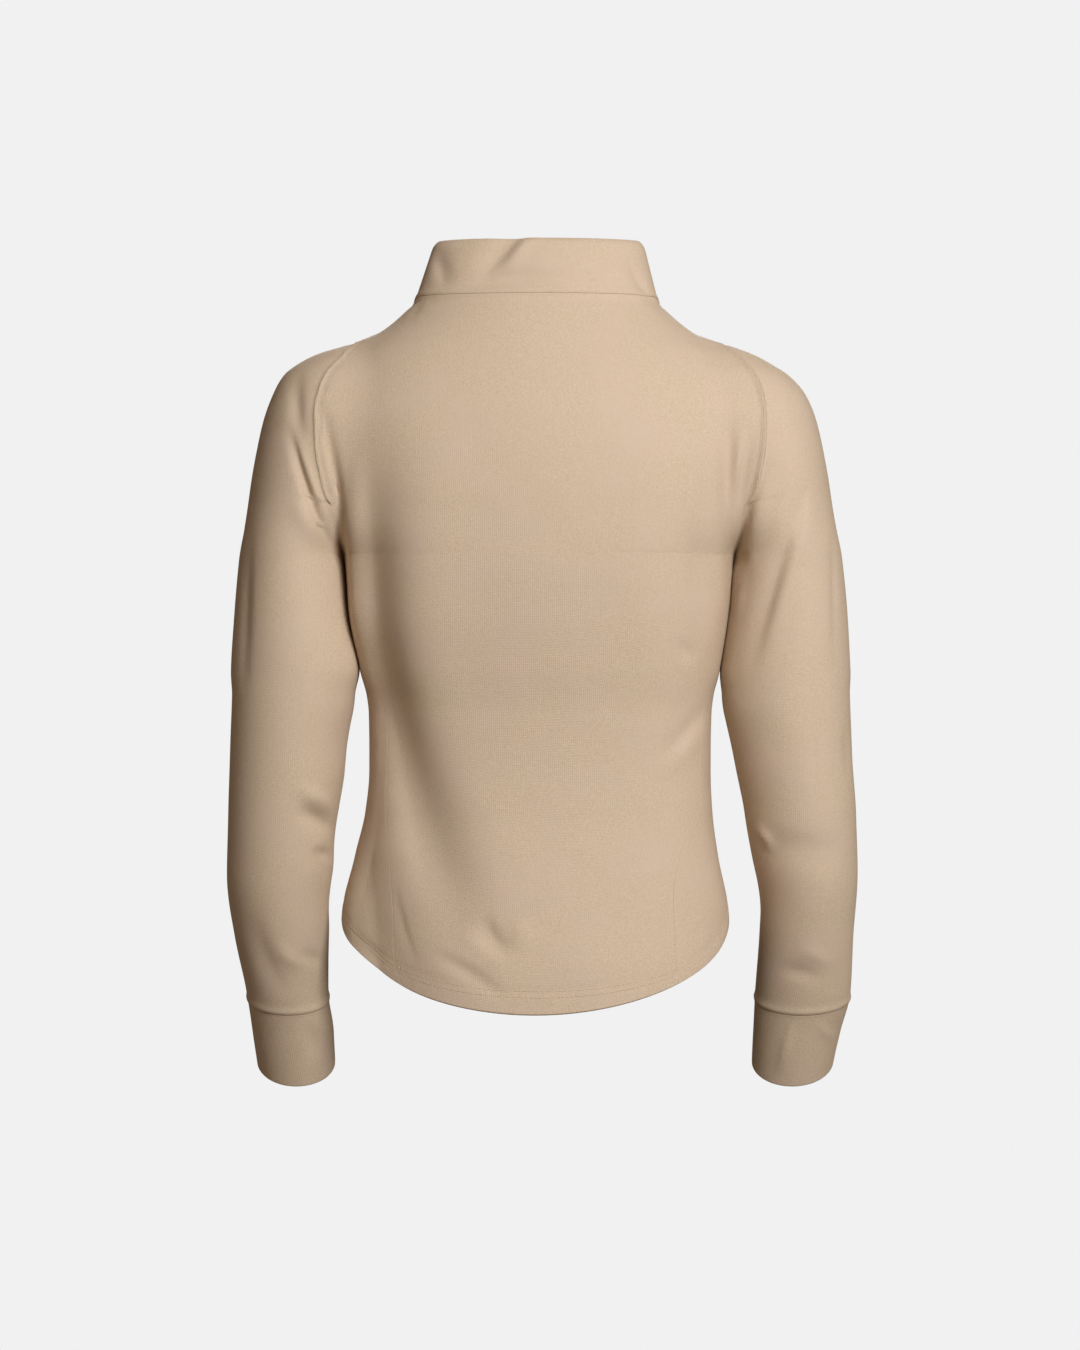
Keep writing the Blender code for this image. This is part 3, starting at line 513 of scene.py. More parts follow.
# The folds: the face they lie on (1 back, -1 front), both ends, how far they bow from the line between
# them, their width on either side, and their height, less than nothing for a trough. The first side is
# the right one of a fold that runs down, as the photograph shows it, or the upper one if it runs right.
FOLDS = table("face x0 z0 x1 z1 bow first second height", (
    (1, 0.0980, -0.040, 0.1000, -0.540, 0.000, 0.036, 0.036, 0.0070),  # held flat between
    (1, -0.0980, -0.040, -0.1000, -0.540, 0.000, 0.036, 0.036, 0.0045),
    (1, 0.1330, -0.090, 0.0850, -0.500, 0.020, 0.020, 0.012, -0.0064),  # trough, left back
    (1, 0.1260, -0.270, 0.0500, -0.550, 0.010, 0.028, 0.030, -0.0120),
    (1, 0.1500, -0.380, 0.1260, -0.660, 0.000, 0.050, 0.018, -0.0120),
    (1, 0.1510, -0.120, 0.1460, -0.370, 0.000, 0.009, 0.016, 0.0060),  # and the ridge that runs left of it
    (1, 0.1800, -0.078, 0.1575, -0.224, -0.003, 0.0048, 0.0026, -0.0046),  # beside the left raglan seam
    (1, 0.1640, -0.160, 0.1560, -0.300, -0.002, 0.0060, 0.0050, -0.0030),
    (1, 0.0480, -0.498, 0.0230, -0.533, 0.003, 0.0060, 0.0140, -0.0030),  # drag lines above the left hem
    (1, 0.0130, -0.500, 0.0200, -0.530, 0.000, 0.0120, 0.0060, 0.0016),
    (1, 0.0930, -0.528, 0.0240, -0.568, -0.003, 0.0045, 0.0070, -0.0022),
    (1, 0.0700, -0.512, 0.0250, -0.548, -0.003, 0.0070, 0.0070, 0.0012),
    (1, 0.1580, -0.512, 0.1330, -0.545, 0.003, 0.0060, 0.0080, -0.0016),
    (1, 0.1230, -0.470, 0.0980, -0.545, 0.004, 0.0030, 0.0060, -0.0008),
    (1, -0.1545, -0.082, -0.1550, -0.226, 0.001, 0.0032, 0.0090, -0.0044),  # beside the right raglan seam
    (1, -0.1180, -0.170, -0.1420, -0.285, 0.003, 0.0090, 0.0100, -0.0026),  # below the right armpit
    (1, -0.1400, -0.160, -0.1450, -0.300, 0.000, 0.0120, 0.0120, 0.0030),
    (1, -0.1080, -0.276, -0.1250, -0.296, 0.001, 0.0035, 0.0050, -0.0016),
    (1, -0.0960, -0.380, -0.1380, -0.326, 0.001, 0.0080, 0.0070, -0.0022),
    (1, -0.0930, -0.392, -0.1350, -0.340, 0.001, 0.0070, 0.0090, 0.0012),
    (1, -0.1120, -0.521, -0.1402, -0.494, 0.000, 0.0016, 0.0016, 0.0004),
    (1, -0.1337, -0.504, -0.1337, -0.535, 0.000, 0.0016, 0.0016, 0.0003),
    (1, -0.0900, 0.004, -0.1080, -0.016, 0.000, 0.0030, 0.0040, -0.0012),  # below the collar seam
    (1, 0.0950, -0.004, 0.1080, -0.017, 0.000, 0.0030, 0.0040, -0.0010),
    (1, 0.1960, -0.056, 0.1910, -0.122, 0.004, 0.0060, 0.0060, -0.0028),  # left sleeve, beside the seam
    (1, 0.2060, -0.100, 0.1640, -0.216, 0.002, 0.0030, 0.0045, -0.0046),  # left sleeve, to the armpit
    (1, 0.1960, -0.118, 0.1730, -0.182, 0.001, 0.0040, 0.0040, 0.0016),
    (1, 0.2010, -0.158, 0.1760, -0.206, 0.001, 0.0060, 0.0080, 0.0018),
    (1, 0.2360, -0.180, 0.2400, -0.330, 0.001, 0.0045, 0.0045, -0.0017),  # left sleeve, outer side
    (1, 0.1980, -0.414, 0.1640, -0.440, -0.002, 0.0060, 0.0080, -0.0050),  # inner side of the left elbow
    (1, 0.2000, -0.398, 0.1640, -0.420, -0.002, 0.0060, 0.0060, 0.0026),
    (1, 0.1860, -0.450, 0.1640, -0.461, -0.002, 0.0034, 0.0045, -0.0030),
    (1, 0.1900, -0.448, 0.1740, -0.478, -0.004, 0.0050, 0.0050, -0.0013),
    (1, 0.2340, -0.500, 0.2040, -0.574, 0.006, 0.0080, 0.0100, -0.0020),  # above the left cuff
    (1, 0.2180, -0.525, 0.1850, -0.548, 0.004, 0.0060, 0.0060, 0.0014),
    (1, 0.2000, -0.537, 0.1740, -0.546, -0.002, 0.0050, 0.0060, -0.0016),
    (1, -0.2190, -0.145, -0.1670, -0.315, 0.003, 0.0060, 0.0090, -0.0036),  # right sleeve, to the armpit
    (1, -0.2240, -0.165, -0.1770, -0.315, 0.003, 0.0070, 0.0060, 0.0016),
    (1, -0.2145, -0.158, -0.2080, -0.205, 0.000, 0.0025, 0.0040, -0.0011),
    (1, -0.1730, -0.104, -0.1570, -0.196, 0.002, 0.0032, 0.0036, -0.0030),
    (1, -0.1650, -0.100, -0.1560, -0.184, 0.001, 0.0036, 0.0034, 0.0024),
    (1, -0.1690, -0.205, -0.1560, -0.224, -0.001, 0.0040, 0.0050, -0.0030),
    (1, -0.1660, -0.232, -0.1580, -0.262, 0.000, 0.0035, 0.0035, 0.0012),
    (1, -0.1830, -0.135, -0.1690, -0.226, 0.000, 0.0080, 0.0060, 0.0040),
    (1, -0.2385, -0.170, -0.2390, -0.310, 0.000, 0.0030, 0.0030, -0.0011),  # right sleeve, outer side
    (1, -0.2215, -0.310, -0.2230, -0.430, 0.000, 0.0040, 0.0040, -0.0009),
    (1, -0.2480, -0.345, -0.2520, -0.400, 0.000, 0.0030, 0.0030, -0.0011),
    (1, -0.1730, -0.428, -0.1900, -0.454, -0.002, 0.0040, 0.0040, 0.0024),  # inner side of the right elbow
    (1, -0.1700, -0.446, -0.2560, -0.452, 0.000, 0.0120, 0.0160, -0.0022),
    (1, -0.1900, -0.548, -0.2350, -0.558, -0.002, 0.0060, 0.0060, -0.0016),  # above the right cuff
    (1, -0.2050, -0.530, -0.2450, -0.548, -0.002, 0.0060, 0.0060, 0.0010),
    (1, -0.2080, -0.590, -0.1960, -0.640, 0.000, 0.0060, 0.0040, 0.0016),  # cuffs
    (1, -0.2250, -0.592, -0.2480, -0.612, 0.001, 0.0040, 0.0040, 0.0007),
    (1, 0.1900, -0.590, 0.1830, -0.628, 0.000, 0.0050, 0.0060, -0.0014),
    (1, 0.0040, 0.060, 0.0520, 0.010, 0.003, 0.0060, 0.0110, -0.0040),  # collar, from its top to the left
    (1, 0.0000, 0.056, 0.0300, 0.018, 0.002, 0.0060, 0.0050, 0.0018),
    (1, 0.0800, 0.008, -0.0300, 0.016, -0.002, 0.0060, 0.0060, -0.0026),
    (1, 0.0850, 0.044, 0.0760, 0.004, 0.001, 0.0080, 0.0050, -0.0024),
    (1, -0.0700, 0.036, -0.0960, -0.006, 0.002, 0.0030, 0.0050, -0.0024),
    (-1, 0.1350, -0.190, 0.0750, -0.290, 0.008, 0.013, 0.015, -0.0036),  # front, down from the armpits
    (-1, -0.1320, -0.195, -0.0800, -0.280, -0.008, 0.015, 0.012, -0.0034),
    (-1, 0.1520, -0.215, 0.1000, -0.262, 0.004, 0.0060, 0.0070, -0.0020),
    (-1, -0.1500, -0.210, -0.1040, -0.268, -0.004, 0.0070, 0.0060, -0.0022),
    (-1, 0.1000, -0.330, 0.0300, -0.400, 0.006, 0.013, 0.015, -0.0030),  # front, across the waist
    (-1, -0.1050, -0.350, -0.0350, -0.415, -0.006, 0.015, 0.012, -0.0028),
    (-1, 0.1220, -0.372, 0.0720, -0.440, 0.004, 0.0080, 0.0090, -0.0018),
    (-1, -0.1180, -0.395, -0.0600, -0.455, -0.004, 0.0090, 0.0070, -0.0016),
    (-1, 0.0400, -0.500, 0.0950, -0.545, -0.003, 0.0060, 0.0090, -0.0016),  # front, above the hem
    (-1, -0.0300, -0.505, -0.0850, -0.548, 0.003, 0.0080, 0.0060, -0.0014),
    (-1, 0.1500, -0.110, 0.1580, -0.195, -0.003, 0.0050, 0.0070, -0.0026),  # front raglan seams
    (-1, -0.1480, -0.112, -0.1560, -0.192, 0.003, 0.0070, 0.0050, -0.0026),
    (-1, 0.2030, -0.120, 0.1720, -0.205, 0.002, 0.0040, 0.0060, -0.0034),  # sleeves, front
    (-1, -0.2020, -0.125, -0.1700, -0.210, 0.002, 0.0050, 0.0050, -0.0032),
    (-1, 0.2350, -0.395, 0.1850, -0.425, -0.003, 0.0070, 0.0080, -0.0034),
    (-1, -0.2350, -0.390, -0.1880, -0.418, 0.003, 0.0080, 0.0070, -0.0034),
    (-1, 0.2260, -0.430, 0.1900, -0.446, -0.002, 0.0050, 0.0060, -0.0022),
    (-1, -0.2290, -0.428, -0.1900, -0.440, 0.002, 0.0060, 0.0050, -0.0022),
    (-1, 0.2350, -0.540, 0.1950, -0.556, 0.000, 0.0060, 0.0060, -0.0018),
    (-1, -0.2400, -0.535, -0.2000, -0.556, 0.000, 0.0060, 0.0060, -0.0018),
))

# Slow swells that no cut cloth is free of: their lengths across and up, and how high they stand.
SWELLS = table("across up shift height", (
    (0.130, 0.210, 0.3, 0.00020),
    (0.083, 0.117, 1.7, 0.00012),
    (0.047, 0.059, 4.1, 0.00006),
))

# Above the gap between body and arm the two press on each other: how far each flank swells, by height.
FLANK = table("height swell", (
    (-0.322, 0.0000),
    (-0.304, 0.0013),
    (-0.255, 0.0011),
    (-0.213, 0.0010),
    (-0.190, 0.0000),
))
FLANK_SHARPNESS, FOLD_SHARPNESS = 6, 2  # how fast flank swells and folds fade as the cloth turns away
FOLD_TAPER = 1.5


def fold_height(points, normals):
    """How far the folds and swells lift each point off the smooth form."""
    x, y, z = np.moveaxis(points, -1, 0)
    height = read(FLANK, "swell", z) * np.clip(1 - FLANK_SHARPNESS * (1 - np.abs(normals[..., 0])), 0, 1)
    for face, x0, z0, x1, z1, bow, first, second, most in zip(*FOLDS.values()):
        length = np.hypot(x1 - x0, z1 - z0)
        t = np.clip(((x - x0) * (x1 - x0) + (z - z0) * (z1 - z0)) / length ** 2, 0, 1)
        off = ((x - x0) * (z1 - z0) - (z - z0) * (x1 - x0)) / length + bow * 4 * t * (1 - t)
        width = np.where(off > 0, first, second)
        facing = np.clip(face * normals[..., 1] * FOLD_SHARPNESS, 0, 1)
        height += most * facing * np.sin(np.pi * t) ** FOLD_TAPER * np.exp(-(off / width) ** 2)
    for across, up, shift, most in zip(*SWELLS.values()):
        wave = np.sin(2 * np.pi * (x + y) / across + shift)
        height += most * wave * np.sin(2 * np.pi * z / up + 2 * shift)
    return height


def unit(vectors):
    """The same vectors at length 1."""
    return vectors / np.maximum(np.linalg.norm(vectors, axis=-1, keepdims=True), 1e-9)


def from_edges(points):
    """Each point's distance from the grid's first column, last column, first row and last row."""
    across = np.cumsum(np.linalg.norm(np.diff(points, axis=1), axis=2), axis=1)
    across = np.concatenate((np.zeros((len(points), 1)), across), axis=1)
    up = np.cumsum(np.linalg.norm(np.diff(points, axis=0), axis=2), axis=0)
    up = np.concatenate((np.zeros((1, points.shape[1])), up))
    return across, across[:, -1:] - across, up, up[-1:] - up


def fading(distance, whole, none):
    """1 up to one distance from an edge, and 0 past another."""
    t = np.clip((none - distance) / (none - whole), 0, 1)
    return t * t * (3 - 2 * t)


def rolled(distance, radius):
    """How far an edge's round profile falls away, by distance from the edge."""
    inside = np.clip(1 - distance / radius, 0, 1)
    return radius * (np.sqrt(1 - inside ** 2) - 1)


def pulled_in(points, tube_from):
    """The grid with its edges drawn in by half a seam gap. From row tube_from on, its sides are joined."""
    shift = np.zeros(points.shape)
    for edge, inner in ((0, 1), (-1, -2)):
        shift[edge] += unit(points[inner] - points[edge])
        shift[:tube_from, edge] += unit(points[:tube_from, inner] - points[:tube_from, edge])
        if 0 < tube_from < len(points):
            shift[tube_from, edge] += unit(points[tube_from + 1, edge] - points[tube_from, edge])
    return points + SEAM_GAP / 2 * shift


def grid_faces(index, flip):
    """Four corners for each cell of a grid."""
    corners = index[:-1, :-1], index[:-1, 1:], index[1:, 1:], index[1:, :-1]
    faces = np.stack(corners, axis=-1).reshape(-1, 4)
    return faces[:, ::-1] if flip else faces


def lay_cloth(name, outer, inner, tube_from, materials):
    """A closed shell between an outer and an inner face. From row tube_from on, its sides are joined."""
    rows, columns = outer.shape[:2]
    spot = np.arange(rows * columns).reshape(rows, columns)
    index = np.stack((spot, spot + rows * columns))
    index[:, tube_from:, -1] = index[:, tube_from:, 0]
    spots = np.stack((spot, spot))
    sewn = slice(min(tube_from, rows - 1) + 1)
    across = np.cross(outer[:-1, 1:] - outer[:-1, :-1], outer[1:, :-1] - outer[:-1, :-1])
    turned = np.sum(across * (outer - inner)[:-1, :-1]) < 0
    faces, corners, finish = [], [], []
    for part, flip, slot in (
        (0, False, 0),  # the outer face
        (1, True, 1),  # the inner face
        (np.s_[:, 0], True, 1),  # the rims of the first and the last row
        (np.s_[:, -1], False, 1),
        (np.s_[:, sewn, 0], False, 1),  # the rims of the first and the last column
        (np.s_[:, sewn, -1], True, 1),
    ):
        faces.append(grid_faces(index[part], flip ^ turned))
        corners.append(grid_faces(spots[part], flip ^ turned))
        finish.append(np.full(len(faces[-1]), slot))
    used, faces = np.unique(np.concatenate(faces), return_inverse=True)
    vertices = np.concatenate((outer.reshape(-1, 3), inner.reshape(-1, 3)))[used]
    mesh = bpy.data.meshes.new(name)
    mesh.from_pydata(vertices.tolist(), [], faces.reshape(-1, 4).tolist())
    across, _, up, _ = from_edges(outer)
    across = across - across[:, columns // 2, None]
    flat = np.stack((across, up), axis=-1).reshape(-1, 2)[np.concatenate(corners).ravel()]
    mesh.uv_layers.new(name="cloth").data.foreach_set("uv", flat.ravel().astype(np.float32))
    mesh.shade_smooth()
    mesh.set_sharp_from_angle(angle=np.radians(60))
    for material in materials:
        mesh.materials.append(material)
    mesh.polygons.foreach_set("material_index", np.concatenate(finish).astype(np.int32))
    piece = bpy.data.objects.new(name, mesh)
    bpy.context.collection.objects.link(piece)
    return piece


# A fine-gauge polyester jersey. Its outer face is shorn smooth, which leaves a speckled, faintly soft
# grain, and its inner face is brushed into a pale, deeper pile that catches the light. The wales and
# courses of the knit are 0.5 mm apart in the real cloth, and are drawn three times as coarse.
WALE, COURSE = 0.0016, 0.0013
GRAIN = 0.0016
DRIFT = 0.045  # how far apart the slow changes of tone lie
WAVE_LENGTH = np.pi / 10  # what a wave texture of scale 1 repeats after


def knit(name, tones, roughness, sheen, nap):
    """Knitted cloth of three close tones. Its stitches follow the piece's own map, nap metres high."""
    material = bpy.data.materials.new(name)
    material.use_nodes = True
    tree = material.node_tree
    shader = tree.nodes["Principled BSDF"]
    shader.inputs["Roughness"].default_value = roughness
    shader.inputs["Specular IOR Level"].default_value = 0.25
    shader.inputs["Sheen Weight"].default_value = sheen
    shader.inputs["Sheen Roughness"].default_value = 0.5
    shader.inputs["Sheen Tint"].default_value = linear(tones[0])
    cloth = add(tree, "ShaderNodeUVMap", uv_map="cloth")
    place = add(tree, "ShaderNodeTexCoord")
    grain = add(tree, "ShaderNodeTexNoise", {"Scale": 1 / GRAIN, "Detail": 3.0, "Roughness": 0.65},
                {"Vector": place.outputs["Object"]})
    drift = add(tree, "ShaderNodeTexNoise", {"Scale": 1 / DRIFT, "Detail": 3.0},
                {"Vector": place.outputs["Object"]})
    speckle = add(tree, "ShaderNodeMapRange", {"From Min": 0.36, "From Max": 0.64},
                  {"Value": grain.outputs["Fac"]})
    patches = add(tree, "ShaderNodeMapRange", {"From Min": 0.38, "From Max": 0.68, "To Max": 0.6},
                  {"Value": drift.outputs["Fac"]})
    speckled = add(tree, "ShaderNodeMix", {6: linear(tones[0]), 7: linear(tones[1])},
                   {0: speckle.outputs["Result"]}, data_type="RGBA")
    toned = add(tree, "ShaderNodeMix", {7: linear(tones[2])},
                {0: patches.outputs["Result"], 6: speckled.outputs[2]}, data_type="RGBA")
    tree.links.new(toned.outputs[2], shader.inputs["Base Color"])
    wales = add(tree, "ShaderNodeTexWave",
                {"Scale": WAVE_LENGTH / WALE, "Distortion": 0.6, "Detail Scale": 2.0},
                {"Vector": cloth.outputs["UV"]}, bands_direction="X")
    courses = add(tree, "ShaderNodeTexWave",
                  {"Scale": WAVE_LENGTH / COURSE, "Distortion": 0.6, "Detail Scale": 2.0},
                  {"Vector": cloth.outputs["UV"]}, bands_direction="Y")
    loops = add(tree, "ShaderNodeMath", links={0: wales.outputs["Fac"], 1: courses.outputs["Fac"]},
                operation="MULTIPLY")
    pile = add(tree, "ShaderNodeMath", {1: 0.55}, {0: loops.outputs[0], 2: grain.outputs["Fac"]},
               operation="MULTIPLY_ADD")
    relief = add(tree, "ShaderNodeBump", {"Strength": 0.6, "Distance": nap}, {"Height": pile.outputs[0]})
    tree.links.new(relief.outputs["Normal"], shader.inputs["Normal"])
    return material


SMOOTH_TONES = ("#ccb9a2", "#c1ac92", "#c9b3a1")
BRUSHED_TONES = ("#d8c5b0", "#c4ae94", "#cfb9a4")
smooth_face = knit("shorn polyester fleece, outer face", SMOOTH_TONES, 0.75, 0.12, 0.0004)
brushed_face = knit("brushed polyester fleece, inner face", BRUSHED_TONES, 0.95, 0.5, 0.0012)

SEAM_ROLL = 0.0002  # how round the cloth turns into a seam, which is pressed flat
# A sewn seam shows as a soft ridge on one of its pieces, whose foot runs out on the other: how far it lies
# from the seam, how wide it is and how high.
RAGLAN_RIDGE = (0.0014, 0.0020, 0.0010)
NECK_RIDGE = (0.0022, 0.0024, 0.0008)
NECK_TROUGH = (-0.0060, 0.0040, -0.0007)  # below the neck's ridge, on the body
CUFF_RIDGE = (0.0030, 0.0028, 0.0010)
ALLOWANCE, ALLOWANCE_THICK = (0.006, 0.007), 0.0012  # the overlocked turnings inside, and where they end
HEM_DEPTH, HEM_THICK, HEM_ROLL = (0.021, 0.023), 0.0014, 0.0014  # the turned-up hem
HEM_STITCHES = (0.0150, 0.0200)  # height of the two rows of cover stitch above the fold
CHANNEL, CHANNEL_WIDTH = 0.0004, 0.0014  # the groove that each row of stitches pulls in
RAGLAN_BLEND = 8  # the rows over which a side seam turns into a raglan seam

side_seams = {side: side_seam(side) for side in (1, -1)}


def ridge(distance, place, width, height):
    """The profile of a ridge beside a seam, by distance from the seam, negative on its far side."""
    return height * np.exp(-((distance - place) / width) ** 2)


def body_grid(face, columns, neck_ends):
    """The places of a body panel between its seams, from the hem up."""
    edges = []
    for side in (1, -1):
        lower = along(side_seams[side], shares(SIDE_ROWS, at_end=False))
        upper = along(raglan(side, face), shares(RAGLAN_ROWS, at_start=False))
        edges.append(np.concatenate((lower, upper[1:])))
    hem_end = SIDE_SEAM_AT_HEM[1] + (0 if face > 0 else 2 * np.pi)
    bottom = along(hem_line(SIDE_SEAM_AT_HEM[0], hem_end), shares(columns))
    top = along(neck_line(*neck_ends), shares(columns))
    return stretch(*edges, bottom, top, 0 if face > 0 else np.pi)


def body_panel(name, face, columns, neck_ends):
    """A body panel with its folds, seams and turned-up hem, and its outer face's places and normals."""
    points = body_grid(face, columns, neck_ends)
    normals = outward(points, body_form)
    left, right, above_hem, below_neck = from_edges(points)
    aside = np.minimum(left, right)
    raglan_share = np.clip((np.arange(len(points)) - SIDE_ROWS) / RAGLAN_BLEND, 0, 1)[:, None]
    seams = (
        rolled(np.minimum(aside, below_neck), SEAM_ROLL) + rolled(above_hem, HEM_ROLL)
        + raglan_share * ridge(aside, *RAGLAN_RIDGE)
        + ridge(-below_neck, *NECK_RIDGE) + ridge(-below_neck, *NECK_TROUGH)
    )
    for height in HEM_STITCHES:
        seams -= ridge(above_hem, height, CHANNEL_WIDTH, CHANNEL)
    hem = fading(above_hem, *HEM_DEPTH)
    depth = CLOTH + HEM_THICK * hem + rolled(above_hem, HEM_ROLL)
    depth += ALLOWANCE_THICK * (1 - hem) * fading(np.minimum(aside, below_neck), *ALLOWANCE)
    points = pulled_in(points, len(points))
    lift = fold_height(points, normals) - EASE
    outer = points + normals * (lift + seams)[..., None]
    inner = points + normals * (lift - depth)[..., None]
    return lay_cloth(name, outer, inner, len(points), (smooth_face, brushed_face)), outer, normals


back, back_face, back_normals = body_panel("back", 1, BACK_COLUMNS, (NECK_BACK_END, -NECK_BACK_END))
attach(back, "root")
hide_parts("back_panel")


# --- Front panel ----------------------------------------------------------------------------------
# The front is cut like the back, wider over the bust and lower at the neck, and it is joined to the back
# along side seams that the cut throws well round to the back.

FRONT_COLUMNS = 182

front, front_face, front_normals = body_panel(
    "front", -1, FRONT_COLUMNS, (NECK_FRONT_END, 2 * np.pi - NECK_FRONT_END))
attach(front, "root")
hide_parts("front_panel")


# --- Hem stitching --------------------------------------------------------------------------------
# The hem is turned up once and held by a cover stitch, which shows outside as two rows of polyester thread
# in the cloth's own colour, 5 mm apart.

STITCH, STITCH_GAP, THREAD = 0.0030, 0.0006, 0.0003
THREAD_ALONG = np.array((-1.0, -0.8, 0.0, 0.8, 1.0)) * STITCH / 2
THREAD_THICK = np.array((0.3, 0.85, 1.0, 0.85, 0.3)) * THREAD
THREAD_SIDES = 6
TWIST = 0.0005  # the yarn's twist is 0.25 mm long, drawn twice as coarse

# Spun polyester sewing thread of two plies, dull and a little fuzzy, dyed to match the cloth, with painted
# shade.
# Its colour is painted darker in the grooves between the plies and lighter on their crests, as painted
# shade.
thread = bpy.data.materials.new("spun polyester thread")
thread.use_nodes = True
thread_shader = thread.node_tree.nodes["Principled BSDF"]
thread_shader.inputs["Roughness"].default_value = 0.55
thread_shader.inputs["Sheen Weight"].default_value = 0.1
thread_map = add(thread.node_tree, "ShaderNodeUVMap", uv_map="cloth")
plies = add(thread.node_tree, "ShaderNodeTexWave", {"Scale": WAVE_LENGTH / TWIST},
            {"Vector": thread_map.outputs["UV"]}, bands_direction="DIAGONAL")
# Painted shade: the darker colour falls where the twist's relief is low, the lighter one on its crests.
plies_with_painted_shade = add(thread.node_tree, "ShaderNodeMix", {6: linear("#b9a086"), 7: linear("#d6c1aa")},
            {0: plies.outputs["Fac"]}, data_type="RGBA")
thread.node_tree.links.new(plies_with_painted_shade.outputs[2], thread_shader.inputs["Base Color"])
plied_relief = add(thread.node_tree, "ShaderNodeBump", {"Strength": 0.5, "Distance": 0.0001},
                   {"Height": plies.outputs["Fac"]})
thread.node_tree.links.new(plied_relief.outputs["Normal"], thread_shader.inputs["Normal"])


def hem_stitches(name, face, normals):
    """Two rows of short threads on a panel's outer face, each a spindle half sunk in the cloth."""
    above_hem = from_edges(face)[2]
    turns = np.linspace(0, 2 * np.pi, THREAD_SIDES, endpoint=False)[:, None]
    vertices, flat, faces = [], [], []
    for height in HEM_STITCHES:
        columns = range(face.shape[1])
        line = [[np.interp(height, above_hem[:, j], face[:, j, k]) for k in range(3)] for j in columns]
        line = np.array(line)
        row = np.argmin(np.abs(above_hem[:, len(line) // 2] - height))
        length = np.linalg.norm(np.diff(line, axis=0), axis=1).sum()
        count = int(length / (STITCH + STITCH_GAP)) - 1
        for middle in (np.arange(count) + 1) * length / (count + 1):
            ends = along(line, np.array([middle - STITCH / 2, middle + STITCH / 2]) / length)
            ahead = unit(ends[1] - ends[0])
            up = unit(normals[row, np.searchsorted(np.linspace(0, length, len(columns)), middle)])
            beside = unit(np.cross(ahead, up))
            ring = np.cos(turns) * up + np.sin(turns) * beside
            start = len(vertices)
            for far, thick in zip(THREAD_ALONG, THREAD_THICK):
                vertices.extend(ends.mean(axis=0) + far * ahead + thick * ring)
                flat.extend((turn * THREAD, far) for turn in turns[:, 0])
            for k in range(len(THREAD_ALONG) - 1):
                low = [start + k * THREAD_SIDES + i for i in range(THREAD_SIDES)]
                for i in range(THREAD_SIDES):
                    j = (i + 1) % THREAD_SIDES
                    faces.append((low[i], low[j], low[j] + THREAD_SIDES, low[i] + THREAD_SIDES))
            last = start + (len(THREAD_ALONG) - 1) * THREAD_SIDES
            faces.append([start + i for i in reversed(range(THREAD_SIDES))])
            faces.append([last + i for i in range(THREAD_SIDES)])
    mesh = bpy.data.meshes.new(name)
    mesh.from_pydata(np.array(vertices).tolist(), [], faces)
    corners = np.array(flat)[np.concatenate([np.array(corner) for corner in faces])]
    mesh.uv_layers.new(name="cloth").data.foreach_set("uv", corners.ravel().astype(np.float32))
    mesh.shade_smooth()
    mesh.materials.append(thread)
    piece = bpy.data.objects.new(name, mesh)
    bpy.context.collection.objects.link(piece)
    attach(piece, "root")
    return piece


back_stitches = hem_stitches("back_hem_stitches", back_face, back_normals)
front_stitches = hem_stitches("front_hem_stitches", front_face, front_normals)


# --- Sleeves --------------------------------------------------------------------------------------
# Each sleeve is one piece of the same fleece, from the collar down to the wrist, and closed by one seam
# under the arm. Its cap is sewn to the back and the front along the raglan seams.

SLEEVE_COLUMNS, SLEEVE_ROWS = 168, 119
CAP_LEAN_NECK = np.radians(15)  # how far the sleeve's top has turned outwards at the neck
CAP_INSET_NECK, CAP_INSET_ARMPIT = -0.055, 0.043  # its middle line, measured from between the seams
CUFF_SEAM, CUFF_SEAM_DIP = -0.5764, 0.35
CAP_BLEND = 6  # the rows over which the raglan seams turn into the seam under the arm
UNDERARM_GROOVE = (0.0, 0.0012, -0.0004)  # that seam has no ridge but a groove


def sleeve_ring(side, level, dip, columns):
    """A ring round the sleeve from under the arm, on a plane that dips towards the back."""
    turns = 2 * np.pi * shares(columns)
    middle_x, middle_y = arm_section(side, level)[:2]
    start = np.array([middle_x, middle_y, level])
    way = np.stack([-side * np.cos(turns), np.sin(turns), -dip * np.sin(turns)], axis=-1)
    return cast(start, way, sleeve_form(side))


def shoulder_row(side, share, back_end, front_end, columns):
    """A line over the shoulder from seam to seam: share 0 is at the neck, 1 at the armpit."""
    lean = CAP_LEAN_NECK + (np.pi / 2 - CAP_LEAN_NECK) * share
    top = np.array([side * np.sin(lean), 0.0, np.cos(lean)])
    rear = np.array([0.0, 1.0, 0.0])
    normal = np.array([-side * np.cos(lean), 0.0, np.sin(lean)])
    inset = CAP_INSET_NECK + (CAP_INSET_ARMPIT - CAP_INSET_NECK) * share
    middle = (back_end + front_end) / 2 + inset * top
    turns, tilts = [], []
    for end in (back_end, front_end):
        a, b, c = [(end - middle) @ axis for axis in (top, rear, normal)]
        turns.append(np.arctan2(b, -a))
        tilts.append(np.arctan2(c, np.hypot(a, b)))
    u = shares(columns)[:, None]
    turn = turns[0] + u * (2 * np.pi + turns[1] - turns[0])
    tilt = tilts[0] * (1 - u) ** 2 + tilts[1] * u ** 2
    way = np.cos(tilt) * (np.sin(turn) * rear - np.cos(turn) * top) + np.sin(tilt) * normal
    return cast(middle, way, sleeve_form(side))


